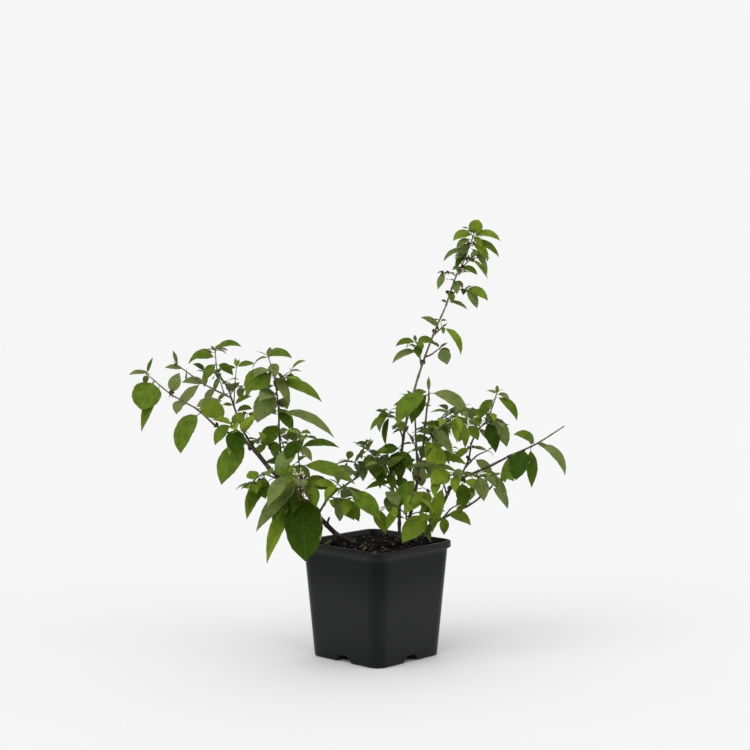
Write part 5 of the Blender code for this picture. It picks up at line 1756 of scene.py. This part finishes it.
def notch_cutter(pot, quarter):
    """An arched bar that cuts the notch in the foot of one side."""
    half = pot.notch_width / 2
    flared = [(half + across * MM, up * MM) for across, up in NOTCH_FLARE]
    wide, high = NOTCH_ROUND
    arch = []
    for step in range(ARC_STEPS + 1):
        angle = math.pi * step / ARC_STEPS
        across = wide * math.cos(angle) + (1 - wide) * math.copysign(1, math.cos(angle))
        arch.append((half * across, pot.notch_height * (1 - high + high * math.sin(angle))))
    mirrored = [(-across, up) for across, up in reversed(flared)]
    profile = mirrored[2:] + flared + arch + mirrored[:2]
    spin = Matrix.Rotation(pot.turn + quarter * math.pi / 2, 3, "Z")
    out = pot.base_side / 2 + 2 * pot.edge
    rings = [[spin @ Vector((out + x * MM, y, z)) for y, z in profile] for x in NOTCH_SPAN]
    verts, faces = loft(rings)
    cutter = new_object(f"notch_{quarter}", mesh_of(f"notch_{quarter}", verts, [], faces))
    cutter.hide_render = True
    cutter.hide_set(True)
    return cutter


# The compost: rings from its edge to its middle, lumps a metre, where it is hollow, how deep and how wide,
# the most that it rises, the shares of chips from which they are wet bark and grit, and a chip's shape
TOP_RINGS = 28
LUMP_SCALE = 70
HOLLOW = Vector((12 * MM, 2 * MM, 0))
HOLLOW_DEPTH = 4 * MM
HOLLOW_REACH = 9 * MM
MOST_RISE = 3.5 * MM
CHIP_SHARES = (0.22, 0.965)
CHIP_SHAPE = (1.0, 0.45, 0.22)


def compost_finish(compost):
    """Dark crumbly compost, darker still as painted shade of the plant above."""
    f = Finish("compost", compost.soil, 0.95, 0.15)
    crumbs = f.cells(420)
    fine = f.noise(700, 5.0)
    f.feed("Base Color", f.mix(fine.smooth_step(0.4, 0.75), compost.soil, compost.dark))
    f.bump(fine + 0.8 * crumbs, 1.2 * MM, 1.0)
    return f.material


def chip_finish(name, colour):
    """A rough flake of bark or grit."""
    f = Finish(name, colour, 0.85, 0.2)
    grain = f.noise(600, 4.0, f.stretched(1, 1, 0.4))
    f.feed("Base Color", f.mix(grain.smooth_step(0.35, 0.7), tuple(0.55 * c for c in colour), colour))
    f.bump(grain, 0.4 * MM, 0.7)
    return f.material


def chip_growth(finishes):
    """Flakes scattered over the compost, in three kinds."""
    g = Growth("bark_chips", [("Density", "Float"), ("Chip", "Float"), ("Seed", "Int")])
    spots = g.node("GeometryNodeDistributePointsOnFaces",
                   {"Mesh": g.geometry, "Density": g.given("Density"), "Seed": g.given("Seed")}).out("Points")
    flake = g.node("GeometryNodeMeshCube", {"Size": CHIP_SHAPE, "Vertices X": 3, "Vertices Y": 3,
                                            "Vertices Z": 2}).out("Mesh")
    turn = g.chance(3, (-0.8, -0.8, 0.0), (0.8, 0.8, math.tau))
    size = g.chance(4, (0.5, 0.4, 0.3), (1.3, 1.0, 0.8))
    size = size * (g.given("Chip") * (0.4 + 1.2 * g.chance(6).maths("POWER", 5.0)))
    many = g.on_points(spots, flake, Rotation=turn, Scale=size)
    many = g.node("GeometryNodeStoreNamedAttribute", {"Geometry": many, "Name": "kind", "Value": g.chance(5)},
                  data_type="FLOAT", domain="INSTANCE")
    chips = g.roughened(g.realized(many), 500.0, 2.0, 0.35 * g.given("Chip"))
    kind = g.attribute("kind")
    chips = g.coloured(chips, finishes[0])
    for finish, share in zip(finishes[1:], CHIP_SHARES):
        chips = g.coloured(chips, finish, kind.maths("GREATER_THAN", share))
    g.close(chips)
    return g


class OBJECT_OT_berry_compost(bpy.types.Operator):
    """Fills the pot with lumpy compost and scatters bark chips on it"""
    bl_idname = "object.berry_compost"
    bl_label = "Compost"

    def execute(self, context):
        compost = context.scene.berry_compost
        pot = context.scene.berry_pot
        clear = pot.wall + GAP
        rings = [wall_ring(pot, pot.floor + GAP, clear), wall_ring(pot, compost.level - 2 * MM, clear)]
        edge = wall_ring(pot, compost.level, clear)
        middle = Vector((0, 0, compost.level))
        for k in range(1, TOP_RINGS + 1):
            share = 1 - k / (TOP_RINGS + 1)
            rings.append([self.lump(middle.lerp(point, share), compost) for point in edge])
        verts, faces = loft(rings)
        mesh = mesh_of("compost_fill", verts, [], faces)
        mesh.shade_smooth()
        mesh.materials.append(compost_finish(compost))
        fill = new_object("compost_fill", mesh)
        finishes = [chip_finish("bark_chip", compost.bark), chip_finish("wet_chip", compost.dark),
                    chip_finish("grit", compost.grit)]
        # The chips lie on the top inside its rim, so the ends that close the loft are left out
        verts, faces = loft(rings[3:])
        top = mesh_of("compost_top", verts, [], faces[1:-1])
        chips = run_growth("bark_chips", top, chip_growth(finishes),
                           {"Density": compost.density, "Chip": compost.chip, "Seed": compost.seed})
        dress(fill, "compost", ["soil"])
        dress(chips, "compost", ["soil"])
        return {"FINISHED"}

    def lump(self, point, compost):
        """A point of the compost's surface, raised or sunk by its lumps."""
        rise = noise.fractal(point * LUMP_SCALE, 0.8, 2.2, 4) * compost.lumps
        away = HOLLOW - Vector((point.x, point.y, 0))
        sunk = HOLLOW_DEPTH * math.exp(-(away.length / HOLLOW_REACH) ** 2)
        return Vector((point.x, point.y, min(point.z + rise - sunk, point.z + MOST_RISE)))


# The lights: which setting gives their strength, where they stand, and how wide they are in degrees
SUNS = (("key", (-0.75, -0.8, 1.0), 50), ("fill", (0.9, -0.7, 0.7), 60), ("back", (0.3, 0.9, 1.1), 60))
FLOOR_HALF = 6.0
FLOOR_DEPTH = 0.5 * MM


def soft_sun(name, towards, spread, power):
    """A soft light from one direction, the same all over the stage."""
    lamp = bpy.data.lights.new(name, "SUN")
    lamp.energy = power
    lamp.angle = math.radians(spread)
    made = new_object(name, lamp)
    made.rotation_euler = Vector(towards).to_track_quat("Z", "Y").to_euler()


class OBJECT_OT_berry_stage(bpy.types.Operator):
    """Lays the floor and sets the lights and the camera"""
    bl_idname = "object.berry_stage"
    bl_label = "Stage"

    def execute(self, context):
        stage = context.scene.berry_stage
        corners = [(x * FLOOR_HALF, y * FLOOR_HALF, -FLOOR_DEPTH)
                   for x, y in ((-1, -1), (1, -1), (1, 1), (-1, 1))]
        floor = new_object("floor", mesh_of("floor", corners, [], [(0, 1, 2, 3)]))
        paper = Finish("pale_floor", stage.floor, 0.9)
        paper.bump(paper.noise(300, 2.0), 0.1 * MM, 0.2)
        floor.data.materials.append(paper.material)
        world = bpy.data.worlds.new("studio")
        world.use_nodes = True
        air = Tree(world.node_tree)
        towards = air.node("ShaderNodeTexCoord").out("Generated")
        sides = air.part_of(towards, "X").maths("ABSOLUTE").smooth_step(0.35, 0.9)
        above = air.part_of(towards, "Z").smooth_step(0.0, 0.9)
        glow = stage.sky * (0.25 + 0.75 * sides.maths("MAXIMUM", above))
        light = air.node("ShaderNodeBackground", {"Color": (1, 1, 1), "Strength": glow})
        backdrop = air.node("ShaderNodeBackground", {"Color": (1, 1, 1), "Strength": stage.backdrop})
        seen = air.node("ShaderNodeLightPath").out("Is Camera Ray")
        air.finish_with(air.node("ShaderNodeMixShader", {0: seen, 1: light, 2: backdrop}))
        context.scene.world = world
        context.scene.view_settings.view_transform = "Standard"
        for word, towards, spread in SUNS:
            soft_sun(f"{word}_sun", towards, spread, getattr(stage, word))
        lens = bpy.data.cameras.new("camera")
        lens.lens = stage.lens
        camera = new_object("camera", lens)
        camera.location = (stage.aside, -stage.distance, stage.eye)
        camera.rotation_euler = (math.pi / 2 - stage.dip, 0, 0)
        context.scene.camera = camera
        return {"FINISHED"}


OPERATORS = (OBJECT_OT_berry_limbs, OBJECT_OT_berry_twigs, OBJECT_OT_berry_leaves, OBJECT_OT_berry_fruit,
             OBJECT_OT_berry_pot, OBJECT_OT_berry_compost, OBJECT_OT_berry_stage)


class VIEW3D_PT_berry(bpy.types.Panel):
    """The beautyberry's settings and steps"""
    bl_label = "Beautyberry"
    bl_idname = "VIEW3D_PT_berry"
    bl_space_type = "VIEW_3D"
    bl_region_type = "UI"
    bl_category = "Beautyberry"

    def draw(self, context):
        for key, group in SETTINGS.items():
            box = self.layout.box()
            for word in group.__annotations__:
                box.prop(getattr(context.scene, key), word)
        for operator in OPERATORS:
            self.layout.operator(operator.bl_idname)


def register():
    for kind in (*SETTINGS.values(), *OPERATORS, VIEW3D_PT_berry):
        bpy.utils.register_class(kind)
    for key, group in SETTINGS.items():
        setattr(bpy.types.Scene, key, PointerProperty(type=group))


def unregister():
    for key in SETTINGS:
        delattr(bpy.types.Scene, key)
    for kind in reversed((*SETTINGS.values(), *OPERATORS, VIEW3D_PT_berry)):
        bpy.utils.unregister_class(kind)


def main():
    register()
    bpy.ops.object.berry_limbs()
    bpy.ops.object.berry_twigs()
    bpy.ops.object.berry_leaves()
    bpy.ops.object.berry_fruit()
    bpy.ops.object.berry_pot()
    bpy.ops.object.berry_compost()
    bpy.ops.object.berry_stage()
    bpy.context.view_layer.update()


if __name__ == "__main__":
    main()
